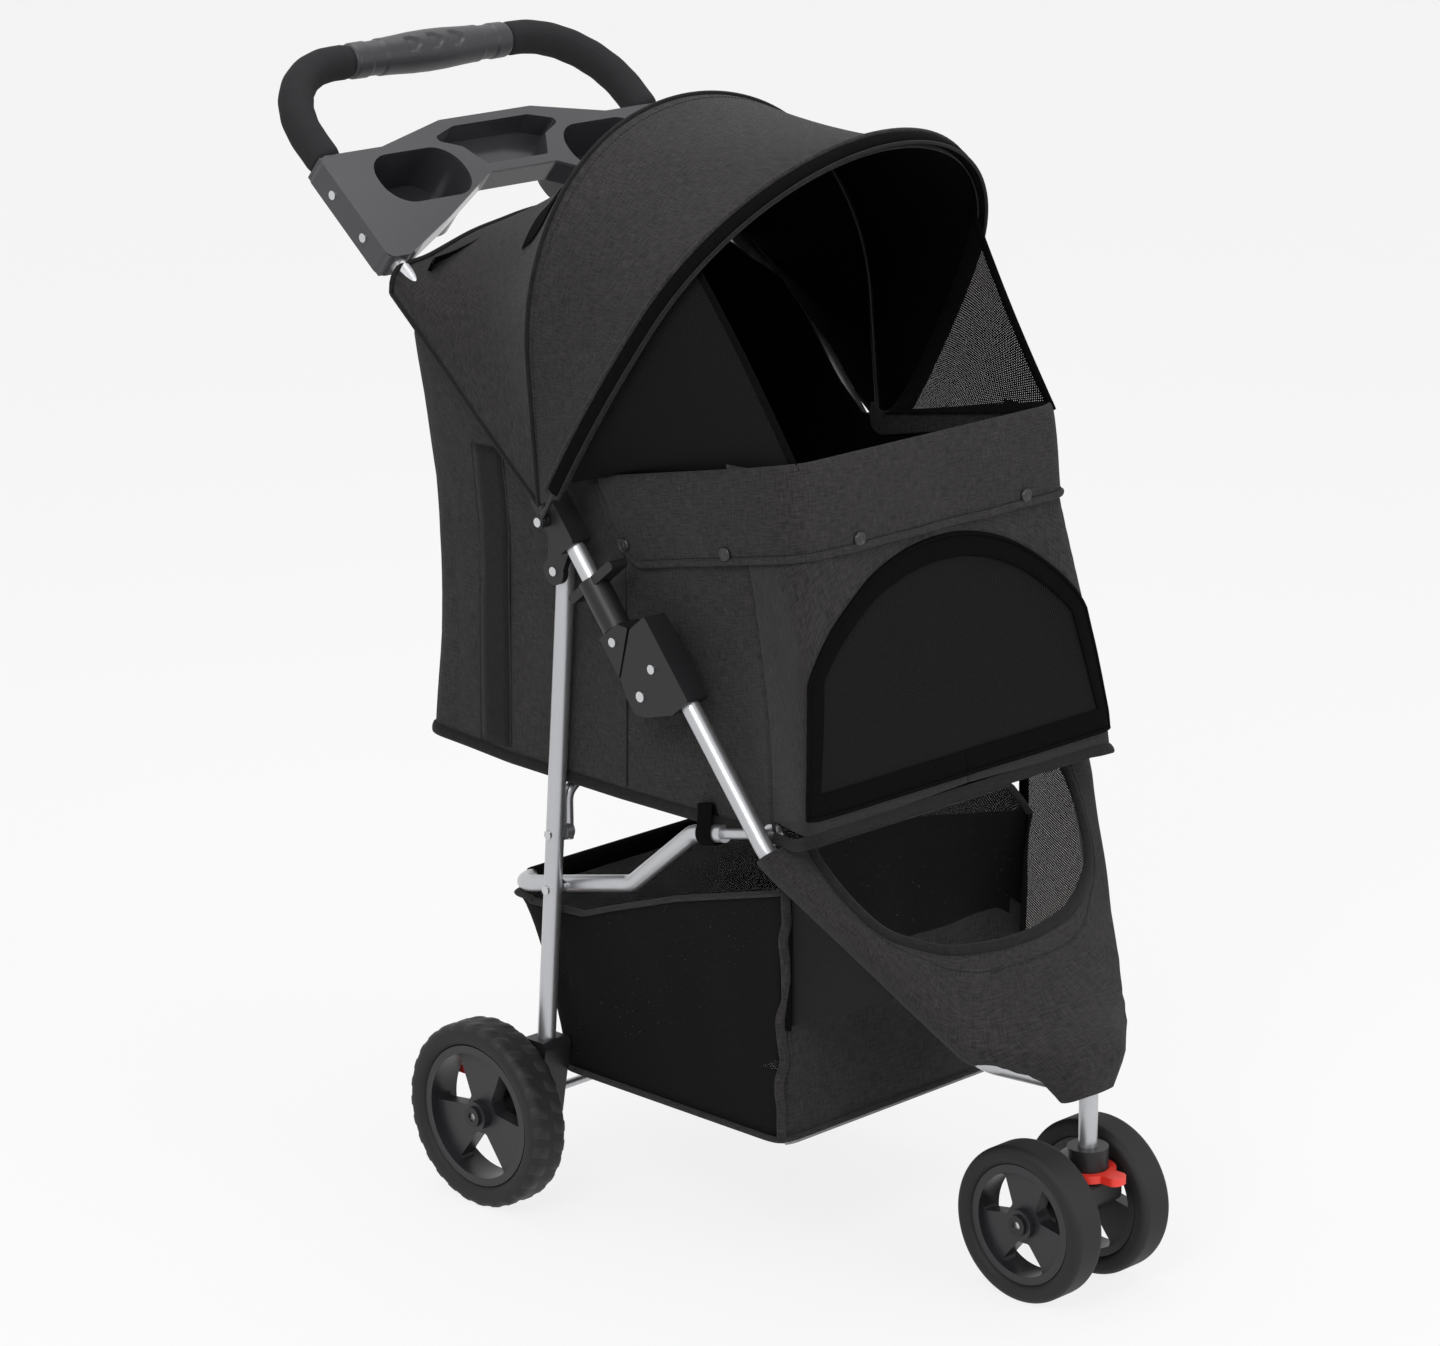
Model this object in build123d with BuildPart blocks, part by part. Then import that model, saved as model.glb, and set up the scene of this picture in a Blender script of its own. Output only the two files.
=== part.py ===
from build123d import *
import os
from math import cos, hypot, radians, sin, tan

os.makedirs("parts", exist_ok=True)

# Folding pet stroller with three wheel stations, in millimetres.
# The front is -Y, the push handle is +Y, +Z is up and the floor is Z = 0.
# Left and right are those of the person who pushes it: left is +X, right is -X.

# Frame tubes and the planes that they lie in
tube_dia = 16.0
tube_wall = 1.2
rail_dia = 15.0
side_x = 192.0
leg_x = 173.0
rail_x = 154.0
seat_gap = 0.05
part_gap = 0.5

# Push handle and upper tubes: one bent tube from hinge to hinge
bend_y = 100.0
bend_z = 703.0
upper_run = 405.0
lower_run = 265.0
upper_slope = 40.0
lower_slope = 51.0
side_bend_radius = 120.0
handle_bend_radius = 82.0
tube_tail = 12.0
grip_half = 94.0
grip_end_dia = 32.0
grip_mid_dia = 38.0
grip_swell = 47.0
grip_corner = 2.5
foam_dia = 31.0

# Folding hinge between upper and front tubes, in its own along and across directions
front_tube_offset = 35.0
front_tube_top = 44.0
front_straight = 175.0
front_low_along = -393.0
front_low_x = 82.0
nose_along = -424.0
nose_x = 24.0
front_bend_radius = 60.0
front_low_radius = 45.0
hinge_pin_dia = 6.0
hinge_outer_x = 204.0
hinge_inner_x = 180.0
clevis_gap = 17.0
housing_top = 51.0
housing_low = -30.0
housing_front = 47.0
notch_rear_along = 23.0
notch_rear_across = -12.0
notch_front_across = 25.0
housing_nose_radius = 16.0
housing_corner = 3.0
clevis_front = 23.0
housing_rivet_along = 12.0
housing_rivet_across = 26.5
tongue_top = 62.0
tongue_rear = -13.0
tongue_front = 14.0
tongue_rivet_along = 52.0
tongue_rivet_depth = 3.0
tongue_gap = 2.0
tongue_lead = 8.0

# Sliding latch collar above the hinge
collar_length = 47.0
collar_dia = 25.0
collar_bore_gap = 0.3
wing_front = 38.0
wing_rear = -27.0
wing_thick = 8.0
wing_width = 18.0

# Leg bracket on the upper tube, its pivot and the hood pivot
bracket_low = 141.0
bracket_top = 196.0
bracket_wall = 2.0
leg_pivot_along = 140.0
leg_pivot_across = -42.0
pivot_eye_radius = 12.0
bracket_plate = 6.0
bracket_inset = 6.0
bracket_rivet_along = 160.0
bracket_rivet_across = -17.0
bracket_corner = 4.0
rivet_dia = 5.0
rivet_head_dia = 8.0
rivet_head = 1.4
hood_pivot_y = 45.0
hood_pivot_z = 628.0
hood_pin_depth = 2.4

# Rear legs, axle and wheel mounts
foot_y = 91.0
foot_z = 94.0
leg_head = 9.0
rail_pivot_drop = 290.0
brace_drop = 239.0
axle_dia = 8.0
rear_axle_y = 123.5
rear_radius = 82.5
rear_width = 38.0
rear_face_x = 230.0
mount_inner_x = 158.5
mount_outer_x = 188.5
mount_boss_x = 130.0
mount_boss_dia = 26.0
mount_corner = 6.0
mount_head_z = 152.0
mount_head_half = 16.0
mount_low_z = 62.0
mount_rear_y = 140.0
cap_gap = 0.4
cap_thick = 3.5
cap_dia = 18.0

# Cabin support brace between the legs
brace_dia = 10.0
brace_top_x = 120.0
brace_knee_share = 0.57
brace_bend = 14.0
brace_eye_dia = 16.0
brace_eye_thick = 3.0
brace_eye_lap = 1.0
rest_gap = 0.3

# Brake pedals
pedal_pivot_y = 150.0
pedal_pivot_z = 100.0
pedal_hub_dia = 14.0
pedal_reach = 46.0
pedal_thick = 6.0
pedal_pin_dia = 5.0
pedal_ear = 3.0
pedal_pad = 26.0
pedal_lift = 2.0

# Basket rail: pivots on the legs and ends beside the front tubes
rail_rear_y = 150.0
rail_knee_y = -3.0
rail_slope = 12.9
rail_rise_y = -87.0
rail_rise_z = 374.0
rail_rise_x = 164.0
rail_tip_y = -188.0
rail_tip_z = 397.0
rail_tip_x = 172.0
rail_tip_dia = 9.0
rail_tip_length = 62.0
rail_eye_dia = 18.0
rail_eye_thick = 5.0
rail_shoulder_dia = 12.0
lug_dia = 12.0
lug_gap = 0.6
rail_corner_radius = 32.0
rail_knee_radius = 26.0
loop_length = 20.0
loop_wall = 1.2
loop_strap_width = 16.0

# Caster
stem_y = -385.0
stem_low_z = 112.0
stem_top_z = 209.0
stem_collar_low_z = 104.5
stem_collar_top_z = 130.0
stem_collar_dia = 35.0
nose_half_x = 36.0
nose_low_z = 182.0
nose_top_z = 216.0
nose_depth = 11.0
nose_corner = 10.0
front_axle_y = -359.3
front_radius = 68.0
front_width = 34.0
front_mid_x = 43.4
fork_half_x = 22.0
fork_head_z = 104.0
fork_front_y = -404.0
fork_rear_y = -340.0
fork_axle_wall = 15.0
fork_corner = 7.0
kingpin_dia = 10.0
kingpin_top_z = 170.0
kingpin_nut_dia = 13.0
kingpin_nut = 6.0
lock_outer_dia = 48.0
lock_thick = 7.0
lock_tab = 14.0
lock_tab_width = 18.0

# Wheels: tyre depth, rim and three spoke windows
rear_tyre_depth = 19.0
front_tyre_depth = 16.0
tyre_round = 0.42
rim_ring = 7.0
rim_inset = 4.0
spoke_count = 3
spoke_thick = 14.0
window_angle = 62.0
window_taper = 14.0
window_corner = 4.0
hub_wall = 9.0
hub_web = 5.0
wheel_gap = 0.06

# Tray on the upper tubes, measured down from the handle bar
tray_rear = 108.0
tray_front = 226.0
tray_mid_rear = 89.0
tray_mid_front = 154.0
tray_sleeve = 8.0
tray_shoulder_x = 184.0
tray_slant_x = 114.0
tray_slant_front = 193.0
tray_mid_x = 40.0
tray_rear_x = 135.0
tray_rear_mid_x = 55.0
tray_corner = 9.0
tray_screw_inset = 34.0
tray_screw_depth = 3.0
tray_top = 12.0
tray_skirt = 13.0
tray_wall = 3.0
cup_x = 113.0
cup_down = 145.0
cup_length = 100.0
cup_width = 56.0
cup_corner = 26.0
cup_depth = 52.0
cup_wall = 2.5
bin_tip_x = 78.0
bin_rear_x = 45.0
bin_waist_x = 50.0
bin_front_x = 36.0
bin_depth = 26.0
bin_margin = 9.0
bin_tip_inset = 20.0
bin_waist_inset = 33.0
bin_corner = 4.0

# Cabin bag
cabin_floor_z = 406.0
cabin_waist_z = 600.0
cabin_brim_z = 820.0
cabin_half = 162.5
cabin_brim_half = 182.0
cabin_rear_low_y = 247.0
cabin_rear_top_y = 250.0
cabin_front_low_y = -253.0
cabin_front_low_x = 193.0
cabin_front_top_y = -203.0
cabin_front_top_x = 158.0
cabin_front_top_z = 702.0
cabin_side_front_y = -150.0
cabin_rear_top_z = 790.0
cabin_dip_y = 45.0
cabin_dip_z = 634.0
cabin_wall = 2.5
floor_board = 7.0
floor_clear = 14.0
door_sill_half = 170.0
door_spring_half = 158.0
door_spring_z = 520.0
door_top_z = 618.0
door_sill_z = 426.0
door_gap = 0.4
flap_height = 74.0
flap_end_y = -5.0
flap_end_top_z = 668.0
flap_end_low_y = -28.0
flap_thick = 2.5
gusset_thick = 1.5
gusset_reach = 250.0
gusset_inset = 9.0

# Hood on two bows
front_bow_angle = 121.75
rear_bow_angle = 84.6
front_bow_x = 210.5
rear_bow_x = 206.0
bow_dia = 4.0
front_bow_height = 373.3
rear_bow_height = 327.9
front_bow_straight = 46.0
rear_bow_straight = 131.4
front_crown_ease = 0.11354
rear_crown_ease = 2.77558
bow_eye_dia = 11.0
bow_eye_thick = 3.6
hood_thick = 2.0
hood_gap = 1.0
hood_front_start = 40.0
hood_rear_start = 16.0
hood_rear_down = 246.0
hood_rear_x = 207.0
hood_rear_drop = 12.0
hood_rear_height = 58.0
hood_rear_straight = 8.0
hood_rear_crown_ease = 15.68981

# Basket bag under the cabin
basket_low_z = 122.0
basket_half = 157.0
basket_front_y = -182.0
basket_front_top_y = -187.0
basket_rear_low_y = 76.0
basket_rear_top_y = 146.0
basket_wall = 2.0
basket_base = 3.0
basket_rail_gap = 0.4

# Apron over the front tubes, measured along the front tubes from the hinge
apron_top = -172.0
apron_tip = -434.0
apron_thick = 2.5
apron_half = 202.0
apron_tip_half = 36.0
apron_cut_half = 156.0
apron_cut_side = -225.0
apron_cut_low = -305.0
apron_cut_low_half = 72.0
apron_cut_radius = 42.0
apron_side_end = -190.0
apron_low_half = 91.0
apron_low = -395.0

# Worked-out places
lower_cos = cos(radians(lower_slope))
lower_sin = sin(radians(lower_slope))
upper_cos = cos(radians(upper_slope))
upper_sin = sin(radians(upper_slope))
hinge_y = bend_y - lower_run * lower_cos
hinge_z = bend_z - lower_run * lower_sin
bar_y = bend_y + upper_run * upper_cos
bar_z = bend_z + upper_run * upper_sin
tube_radius = tube_dia / 2
rail_radius = rail_dia / 2
tray_half = side_x + tube_radius + tray_sleeve


def hinge_point(along, across):
    """Side-view place from distances along the lower tubes and across them, from the fold hinge."""
    y = hinge_y + along * lower_cos - across * lower_sin
    z = hinge_z + along * lower_sin + across * lower_cos
    return y, z


leg_pivot_y, leg_pivot_z = hinge_point(leg_pivot_along, leg_pivot_across)
leg_length = hypot(foot_y - leg_pivot_y, foot_z - leg_pivot_z)


def leg_point(drop):
    """Side-view place on the leg's axis, at a distance down from its pivot."""
    share = drop / leg_length
    return leg_pivot_y + share * (foot_y - leg_pivot_y), leg_pivot_z + share * (foot_z - leg_pivot_z)


rail_pivot_y, rail_pivot_z = leg_point(rail_pivot_drop)
brace_y, brace_z = leg_point(brace_drop)


def tray_point(down, up=0.0):
    """Side-view place from a distance down the handle's slope and a height above its plane."""
    return bar_y - down * upper_cos - up * upper_sin, bar_z - down * upper_sin + up * upper_cos


def side_plane(x):
    """Plane across X whose own axes are Y and Z."""
    return Plane.YZ.offset(x)


def hinge_plane(x):
    """Plane across X with its origin on the fold hinge, along and across the lower tubes."""
    return Plane(origin=(x, hinge_y, hinge_z), x_dir=(0, lower_cos, lower_sin), z_dir=(1, 0, 0))


def low_x(side, inner, outer):
    """The lower X of a slab that lies between two distances from the middle plane."""
    return inner if side > 0 else -outer


def save(piece, name):
    """Label a finished piece and write it to its own file."""
    piece.label = name
    export_step(piece, f"parts/{name}.step")


sides = {"left": 1, "right": -1}


# Tubes
def handle_points():
    """Corners of the push handle's path from the left hinge to the right hinge."""
    tail_y, tail_z = hinge_point(-tube_tail, 0)
    half = [(tail_y, tail_z), (bend_y, bend_z), (bar_y, bar_z)]
    left = [(side_x, y, z) for y, z in half]
    right = [(-side_x, y, z) for y, z in reversed(half)]
    return left + right


def swept_rod(points, radii, dia, wall=0.0):
    """A round rod, or a tube if it has a wall, along straight runs joined by bends."""
    with BuildPart() as rod:
        with BuildLine() as route:
            if radii:
                FilletPolyline(*points, radius=radii)
            else:
                Polyline(*points)
        with BuildSketch(Plane(origin=route.line @ 0, z_dir=route.line % 0)):
            Circle(dia / 2)
            if wall:
                Circle(dia / 2 - wall, mode=Mode.SUBTRACT)
        sweep()
    return rod.part


handle_radii = [side_bend_radius, handle_bend_radius, handle_bend_radius, side_bend_radius]
handle_clearance = swept_rod(handle_points(), handle_radii, tube_dia + 2 * seat_gap)
with BuildPart() as handle_tube:
    add(swept_rod(handle_points(), handle_radii, tube_dia, tube_wall))
    with BuildSketch(side_plane(-side_x - tube_dia)):
        with Locations((hinge_y, hinge_z)):
            Circle(hinge_pin_dia / 2 + seat_gap)
    extrude(amount=2 * (side_x + tube_dia), mode=Mode.SUBTRACT)
save(handle_tube.part, "handle_tube")


def front_points(side):
    """Corners of one front tube, from inside the hinge housing to the nose block."""
    top_y, top_z = hinge_point(front_tube_top, front_tube_offset)
    knee_y, knee_z = hinge_point(-front_straight, front_tube_offset)
    low_y, low_z = hinge_point(front_low_along, front_tube_offset)
    nose_y, nose_z = hinge_point(nose_along, front_tube_offset)
    return [
        (side * side_x, top_y, top_z),
        (side * side_x, knee_y, knee_z),
        (side * front_low_x, low_y, low_z),
        (side * nose_x, nose_y, nose_z),
    ]


front_radii = [front_bend_radius, front_low_radius]


front_clearance = {}
for name, side in sides.items():
    front_clearance[name] = swept_rod(front_points(side), front_radii, tube_dia + 2 * seat_gap)
    save(swept_rod(front_points(side), front_radii, tube_dia, tube_wall), f"front_tube_{name}")

leg_clearance = {}
for name, side in sides.items():
    head_y, head_z = leg_point(-leg_head)
    ends = [(side * leg_x, head_y, head_z), (side * leg_x, foot_y, foot_z)]
    leg_clearance[name] = swept_rod(ends, [], tube_dia + 2 * seat_gap)
    with BuildPart() as rear_leg:
        add(swept_rod(ends, [], tube_dia, tube_wall))
        with BuildSketch(side_plane(low_x(side, leg_x - tube_dia, leg_x + tube_dia))):
            with Locations((leg_pivot_y, leg_pivot_z), (rail_pivot_y, rail_pivot_z)):
                Circle(hinge_pin_dia / 2 + seat_gap)
            with Locations((brace_y, brace_z)):
                Circle(rivet_dia / 2 + seat_gap)
        extrude(amount=2 * tube_dia, mode=Mode.SUBTRACT)
    save(rear_leg.part, f"rear_leg_{name}")


def pin_pairs(name, dia, head_dia, spots):
    """Headed pins on the left and right; each spot is a side-view place and the pin's inner and outer X."""
    with BuildPart() as pins:
        for place, inner, outer in spots:
            for side in sides.values():
                with BuildSketch(side_plane(low_x(side, inner, outer))):
                    with Locations(place):
                        Circle(dia / 2)
                extrude(amount=outer - inner)
                with BuildSketch(side_plane(low_x(side, outer, outer + rivet_head))):
                    with Locations(place):
                        Circle(head_dia / 2)
                extrude(amount=rivet_head)
    save(pins.part, name)


# Fold hinge: housing on the front tube, tongue on the upper tube, pin through both
clevis_inner = side_x - clevis_gap / 2
clevis_outer = side_x + clevis_gap / 2
housing_outline = [
    (housing_top, housing_front),
    (housing_top, notch_front_across),
    (notch_rear_along, notch_rear_across),
    (housing_nose_radius / 2, -housing_nose_radius),
    (-housing_nose_radius / 2, -housing_nose_radius),
    (-housing_nose_radius, -housing_nose_radius / 2),
    (housing_low, clevis_front),
    (housing_low, housing_front),
]
clevis_reach = 2 * housing_top
for name, side in sides.items():
    with BuildPart() as housing:
        with BuildSketch(hinge_plane(low_x(side, hinge_inner_x, hinge_outer_x))) as plate:
            Polygon(*housing_outline, align=None)
            fillet(plate.vertices(), radius=housing_corner)
        extrude(amount=hinge_outer_x - hinge_inner_x)
        with BuildSketch(hinge_plane(low_x(side, clevis_inner, clevis_outer))):
            Polygon(
                (clevis_reach, clevis_front),
                (clevis_reach, -clevis_reach),
                (-clevis_reach, -clevis_reach),
                (-clevis_reach, clevis_front),
                align=None,
            )
        extrude(amount=clevis_gap, mode=Mode.SUBTRACT)
        with BuildSketch(hinge_plane(low_x(side, hinge_inner_x - 1, hinge_outer_x + 1))):
            Circle(hinge_pin_dia / 2 + seat_gap)
            with Locations((housing_rivet_along, housing_rivet_across)):
                Circle(rivet_dia / 2 + seat_gap)
        extrude(amount=hinge_outer_x - hinge_inner_x + 2, mode=Mode.SUBTRACT)
        add(front_clearance[name], mode=Mode.SUBTRACT)
    save(housing.part, f"hinge_housing_{name}")

    with BuildPart() as tongue:
        with BuildSketch(hinge_plane(low_x(side, hinge_inner_x, hinge_outer_x))) as block:
            Polygon(
                (tongue_top, tongue_front),
                (housing_top + tongue_gap, notch_front_across - tongue_gap),
                (notch_rear_along + tongue_gap, notch_rear_across - tongue_gap / 2),
                (notch_rear_along + tongue_lead, tongue_rear),
                (tongue_top, tongue_rear),
                align=None,
            )
        extrude(amount=hinge_outer_x - hinge_inner_x)
        add(handle_clearance, mode=Mode.SUBTRACT)
        with BuildSketch(hinge_plane(low_x(side, hinge_outer_x - tongue_rivet_depth, hinge_outer_x + 1))):
            with Locations((tongue_rivet_along, 0)):
                Circle(rivet_dia / 2 + seat_gap)
        extrude(amount=tongue_rivet_depth + 1, mode=Mode.SUBTRACT)
    save(tongue.part, f"hinge_tongue_{name}")

    collar_low = tongue_top + part_gap
    with BuildPart() as collar:
        with BuildSketch(
            Plane(
                origin=(side * side_x, *hinge_point(collar_low, 0)),
                x_dir=(1, 0, 0),
                z_dir=(0, lower_cos, lower_sin),
            )
        ):
            Circle(collar_dia / 2)
        extrude(amount=collar_length)
        with BuildSketch(hinge_plane(low_x(side, side_x - wing_width / 2, side_x + wing_width / 2))) as wing:
            wing_low = collar_low + collar_length - wing_thick
            Polygon(
                (wing_low, wing_rear),
                (wing_low, wing_front),
                (wing_low + wing_thick, wing_front),
                (wing_low + wing_thick, wing_rear),
                align=None,
            )
            fillet(wing.vertices(), radius=wing_thick / 2 - 0.5)
        extrude(amount=wing_width)
        with BuildSketch(
            Plane(
                origin=(side * side_x, *hinge_point(collar_low - 1, 0)),
                x_dir=(1, 0, 0),
                z_dir=(0, lower_cos, lower_sin),
            )
        ):
            Circle(tube_radius + collar_bore_gap)
        extrude(amount=collar_length + 2, mode=Mode.SUBTRACT)
    save(collar.part, f"latch_collar_{name}")

pin_pairs("hinge_pins", hinge_pin_dia, rivet_head_dia + 1, [((hinge_y, hinge_z), hinge_inner_x, hinge_outer_x)])
housing_rivet_place = hinge_point(housing_rivet_along, housing_rivet_across)
pin_pairs("housing_rivets", rivet_dia, rivet_head_dia, [(housing_rivet_place, clevis_outer, hinge_outer_x)])


# Leg bracket: clamps the upper tube and hangs the rear leg on its plate
bracket_inner_x = leg_x + tube_radius + part_gap
bracket_outer_x = side_x + tube_radius + 1.5 * bracket_wall
bracket_half = tube_radius + 2 * bracket_wall
hood_pin_seat = bracket_outer_x - hood_pin_depth
for name, side in sides.items():
    with BuildPart() as bracket:
        with BuildSketch(hinge_plane(low_x(side, bracket_inner_x, bracket_outer_x))) as clamp:
            Polygon(
                (bracket_low, -bracket_half),
                (bracket_low, bracket_half),
                (bracket_top, bracket_half),
                (bracket_top, -bracket_half),
                align=None,
            )
            fillet(clamp.vertices(), radius=bracket_corner)
        extrude(amount=bracket_outer_x - bracket_inner_x)
        with BuildSketch(hinge_plane(low_x(side, bracket_inner_x, bracket_inner_x + bracket_plate))):
            Polygon(
                (bracket_low + bracket_inset, -tube_radius),
                (bracket_top - bracket_inset, -tube_radius),
                (leg_pivot_along + pivot_eye_radius - 1, leg_pivot_across),
                (leg_pivot_along - pivot_eye_radius + 1, leg_pivot_across),
                align=None,
            )
            with Locations((leg_pivot_along, leg_pivot_across)):
                Circle(pivot_eye_radius)
        extrude(amount=bracket_plate)
        with BuildSketch(hinge_plane(low_x(side, bracket_inner_x - 1, bracket_inner_x + bracket_plate + 1))):
            with Locations((leg_pivot_along, leg_pivot_across)):
                Circle(hinge_pin_dia / 2 + seat_gap)
            with Locations((bracket_rivet_along, bracket_rivet_across)):
                Circle(rivet_dia / 2 + seat_gap)
        extrude(amount=bracket_plate + 2, mode=Mode.SUBTRACT)
        with BuildSketch(side_plane(low_x(side, hood_pin_seat, bracket_outer_x + 1))):
            with Locations((hood_pivot_y, hood_pivot_z)):
                Circle(rivet_dia / 2 + seat_gap)
        extrude(amount=bracket_outer_x + 1 - hood_pin_seat, mode=Mode.SUBTRACT)
        add(handle_clearance, mode=Mode.SUBTRACT)
    save(bracket.part, f"leg_bracket_{name}")

plate_face = bracket_inner_x + bracket_plate
leg_face = leg_x - tube_radius
pin_pairs("leg_pivot_pins", hinge_pin_dia, rivet_head_dia, [((leg_pivot_y, leg_pivot_z), leg_face, plate_face)])
bow_face = front_bow_x + bow_eye_thick / 2 + part_gap
screw_seat = tray_half - tray_screw_depth
screw_places = [tray_point(tray_rear + tray_screw_inset), tray_point(tray_front - tray_screw_inset)]
upper_rivets = [
    *[(place, screw_seat, tray_half) for place in screw_places],
    (hinge_point(bracket_rivet_along, bracket_rivet_across), bracket_inner_x, plate_face),
    (hinge_point(tongue_rivet_along, 0), hinge_outer_x - tongue_rivet_depth, hinge_outer_x),
    ((hood_pivot_y, hood_pivot_z), hood_pin_seat, bow_face),
]
pin_pairs("frame_rivets", rivet_dia, rivet_head_dia, upper_rivets)

# Handle foam and grip
for name, side in sides.items():
    foam_end_y, foam_end_z = tray_point(tray_rear - part_gap)
    route = [
        (side * (grip_half + part_gap), bar_y, bar_z),
        (side * side_x, bar_y, bar_z),
        (side * side_x, foam_end_y, foam_end_z),
    ]
    foam_radii = [handle_bend_radius]
    with BuildPart() as foam:
        add(swept_rod(route, foam_radii, foam_dia))
        add(handle_clearance, mode=Mode.SUBTRACT)
    save(foam.part, f"foam_grip_{name}")

grip_end_y = bar_y + grip_end_dia / 2
with BuildPart() as handle_grip:
    with BuildSketch(Plane.XY.offset(bar_z)):
        with BuildLine():
            Polyline(
                (-grip_swell, grip_end_y),
                (-grip_half + grip_corner, grip_end_y),
                (-grip_half, grip_end_y - grip_corner),
                (-grip_half, bar_y),
                (grip_half, bar_y),
                (grip_half, grip_end_y - grip_corner),
                (grip_half - grip_corner, grip_end_y),
                (grip_swell, grip_end_y),
            )
            ThreePointArc((grip_swell, grip_end_y), (0, bar_y + grip_mid_dia / 2), (-grip_swell, grip_end_y))
        make_face()
    revolve(axis=Axis((0, bar_y, bar_z), (1, 0, 0)))
    add(handle_clearance, mode=Mode.SUBTRACT)
save(handle_grip.part, "handle_grip")

# Tray between the upper tubes, in the handle's own slope
tray_plane = Plane(origin=(0, bar_y, bar_z), x_dir=(1, 0, 0), z_dir=(0, -upper_sin, upper_cos))
tray_right = [
    (tray_half, -tray_rear),
    (tray_half, -tray_front),
    (tray_shoulder_x, -tray_front),
    (tray_slant_x, -tray_slant_front),
    (tray_mid_x, -tray_mid_front),
]
tray_right_rear = [(tray_rear_mid_x, -tray_mid_rear), (tray_rear_x, -tray_rear)]
tray_outline = tray_right + [(-x, y) for x, y in reversed(tray_right)]
tray_outline += [(-x, y) for x, y in reversed(tray_right_rear)] + tray_right_rear
sleeve_half = tray_half - side_x
bin_rear = tray_mid_rear + bin_margin
bin_right = [
    (bin_rear_x, -bin_rear),
    (bin_tip_x, -tray_mid_rear - bin_tip_inset),
    (bin_waist_x, -tray_mid_rear - bin_waist_inset),
    (bin_front_x, -tray_mid_front + bin_margin),
]
bin_outline = bin_right + [(-x, y) for x, y in reversed(bin_right)]
with BuildPart() as tray:
    with BuildSketch(tray_plane.offset(-tray_skirt)) as outline:
        Polygon(*tray_outline, align=None)
        fillet(outline.vertices(), radius=tray_corner)
    extrude(amount=tray_skirt + tray_top)
    with BuildSketch(tray_plane.offset(-tray_skirt)) as hollow:
        Polygon(*tray_outline, align=None)
        fillet(hollow.vertices(), radius=tray_corner)
        offset(amount=-tray_wall, mode=Mode.REPLACE)
    extrude(amount=tray_skirt + tray_top - tray_wall, mode=Mode.SUBTRACT)
    with BuildSketch(tray_plane.offset(-tray_skirt)):
        for side in sides.values():
            with Locations((side * side_x, -(tray_rear + tray_front) / 2)):
                Rectangle(2 * sleeve_half - 2, tray_front - tray_rear - 2)
    extrude(amount=tray_skirt + tray_top - 1)
    with BuildSketch(tray_plane.offset(tray_top - cup_depth)):
        for side in sides.values():
            with Locations((side * cup_x, -cup_down)):
                RectangleRounded(cup_length + 2 * cup_wall, cup_width + 2 * cup_wall, cup_corner + cup_wall)
    extrude(amount=cup_depth - 1)
    with BuildSketch(tray_plane.offset(tray_top - bin_depth)) as bin_shell:
        Polygon(*bin_outline, align=None)
        fillet(bin_shell.vertices(), radius=bin_corner)
        offset(amount=cup_wall, mode=Mode.REPLACE)
    extrude(amount=bin_depth - 1)
    with BuildSketch(tray_plane.offset(tray_top - cup_depth + cup_wall)):
        for side in sides.values():
            with Locations((side * cup_x, -cup_down)):
                RectangleRounded(cup_length, cup_width, cup_corner)
    extrude(amount=cup_depth, mode=Mode.SUBTRACT)
    with BuildSketch(tray_plane.offset(tray_top - bin_depth + cup_wall)) as bin_well:
        Polygon(*bin_outline, align=None)
        fillet(bin_well.vertices(), radius=bin_corner)
    extrude(amount=bin_depth, mode=Mode.SUBTRACT)
    add(handle_clearance, mode=Mode.SUBTRACT)
    for side in sides.values():
        with BuildSketch(side_plane(low_x(side, screw_seat, tray_half + 1))):
            with Locations(*screw_places):
                Circle(rivet_dia / 2 + seat_gap)
        extrude(amount=tray_half + 1 - screw_seat, mode=Mode.SUBTRACT)
save(tray.part, "tray")

# Rear axle, wheel mounts and brake pedals
rear_axle_z = rear_radius
hub_out_x = rear_face_x - cap_thick
with BuildPart() as rear_axle:
    with BuildSketch(side_plane(-hub_out_x - 1)):
        with Locations((rear_axle_y, rear_axle_z)):
            Circle(axle_dia / 2)
    extrude(amount=2 * (hub_out_x + 1))
save(rear_axle.part, "rear_axle")

with BuildPart() as rear_axle_caps:
    for side in sides.values():
        with BuildSketch(side_plane(low_x(side, hub_out_x + cap_gap, rear_face_x))):
            with Locations((rear_axle_y, rear_axle_z)):
                Circle(cap_dia / 2)
                Circle(axle_dia / 2 + seat_gap, mode=Mode.SUBTRACT)
        extrude(amount=rear_face_x - hub_out_x - cap_gap)
save(rear_axle_caps.part, "rear_axle_caps")

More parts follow.
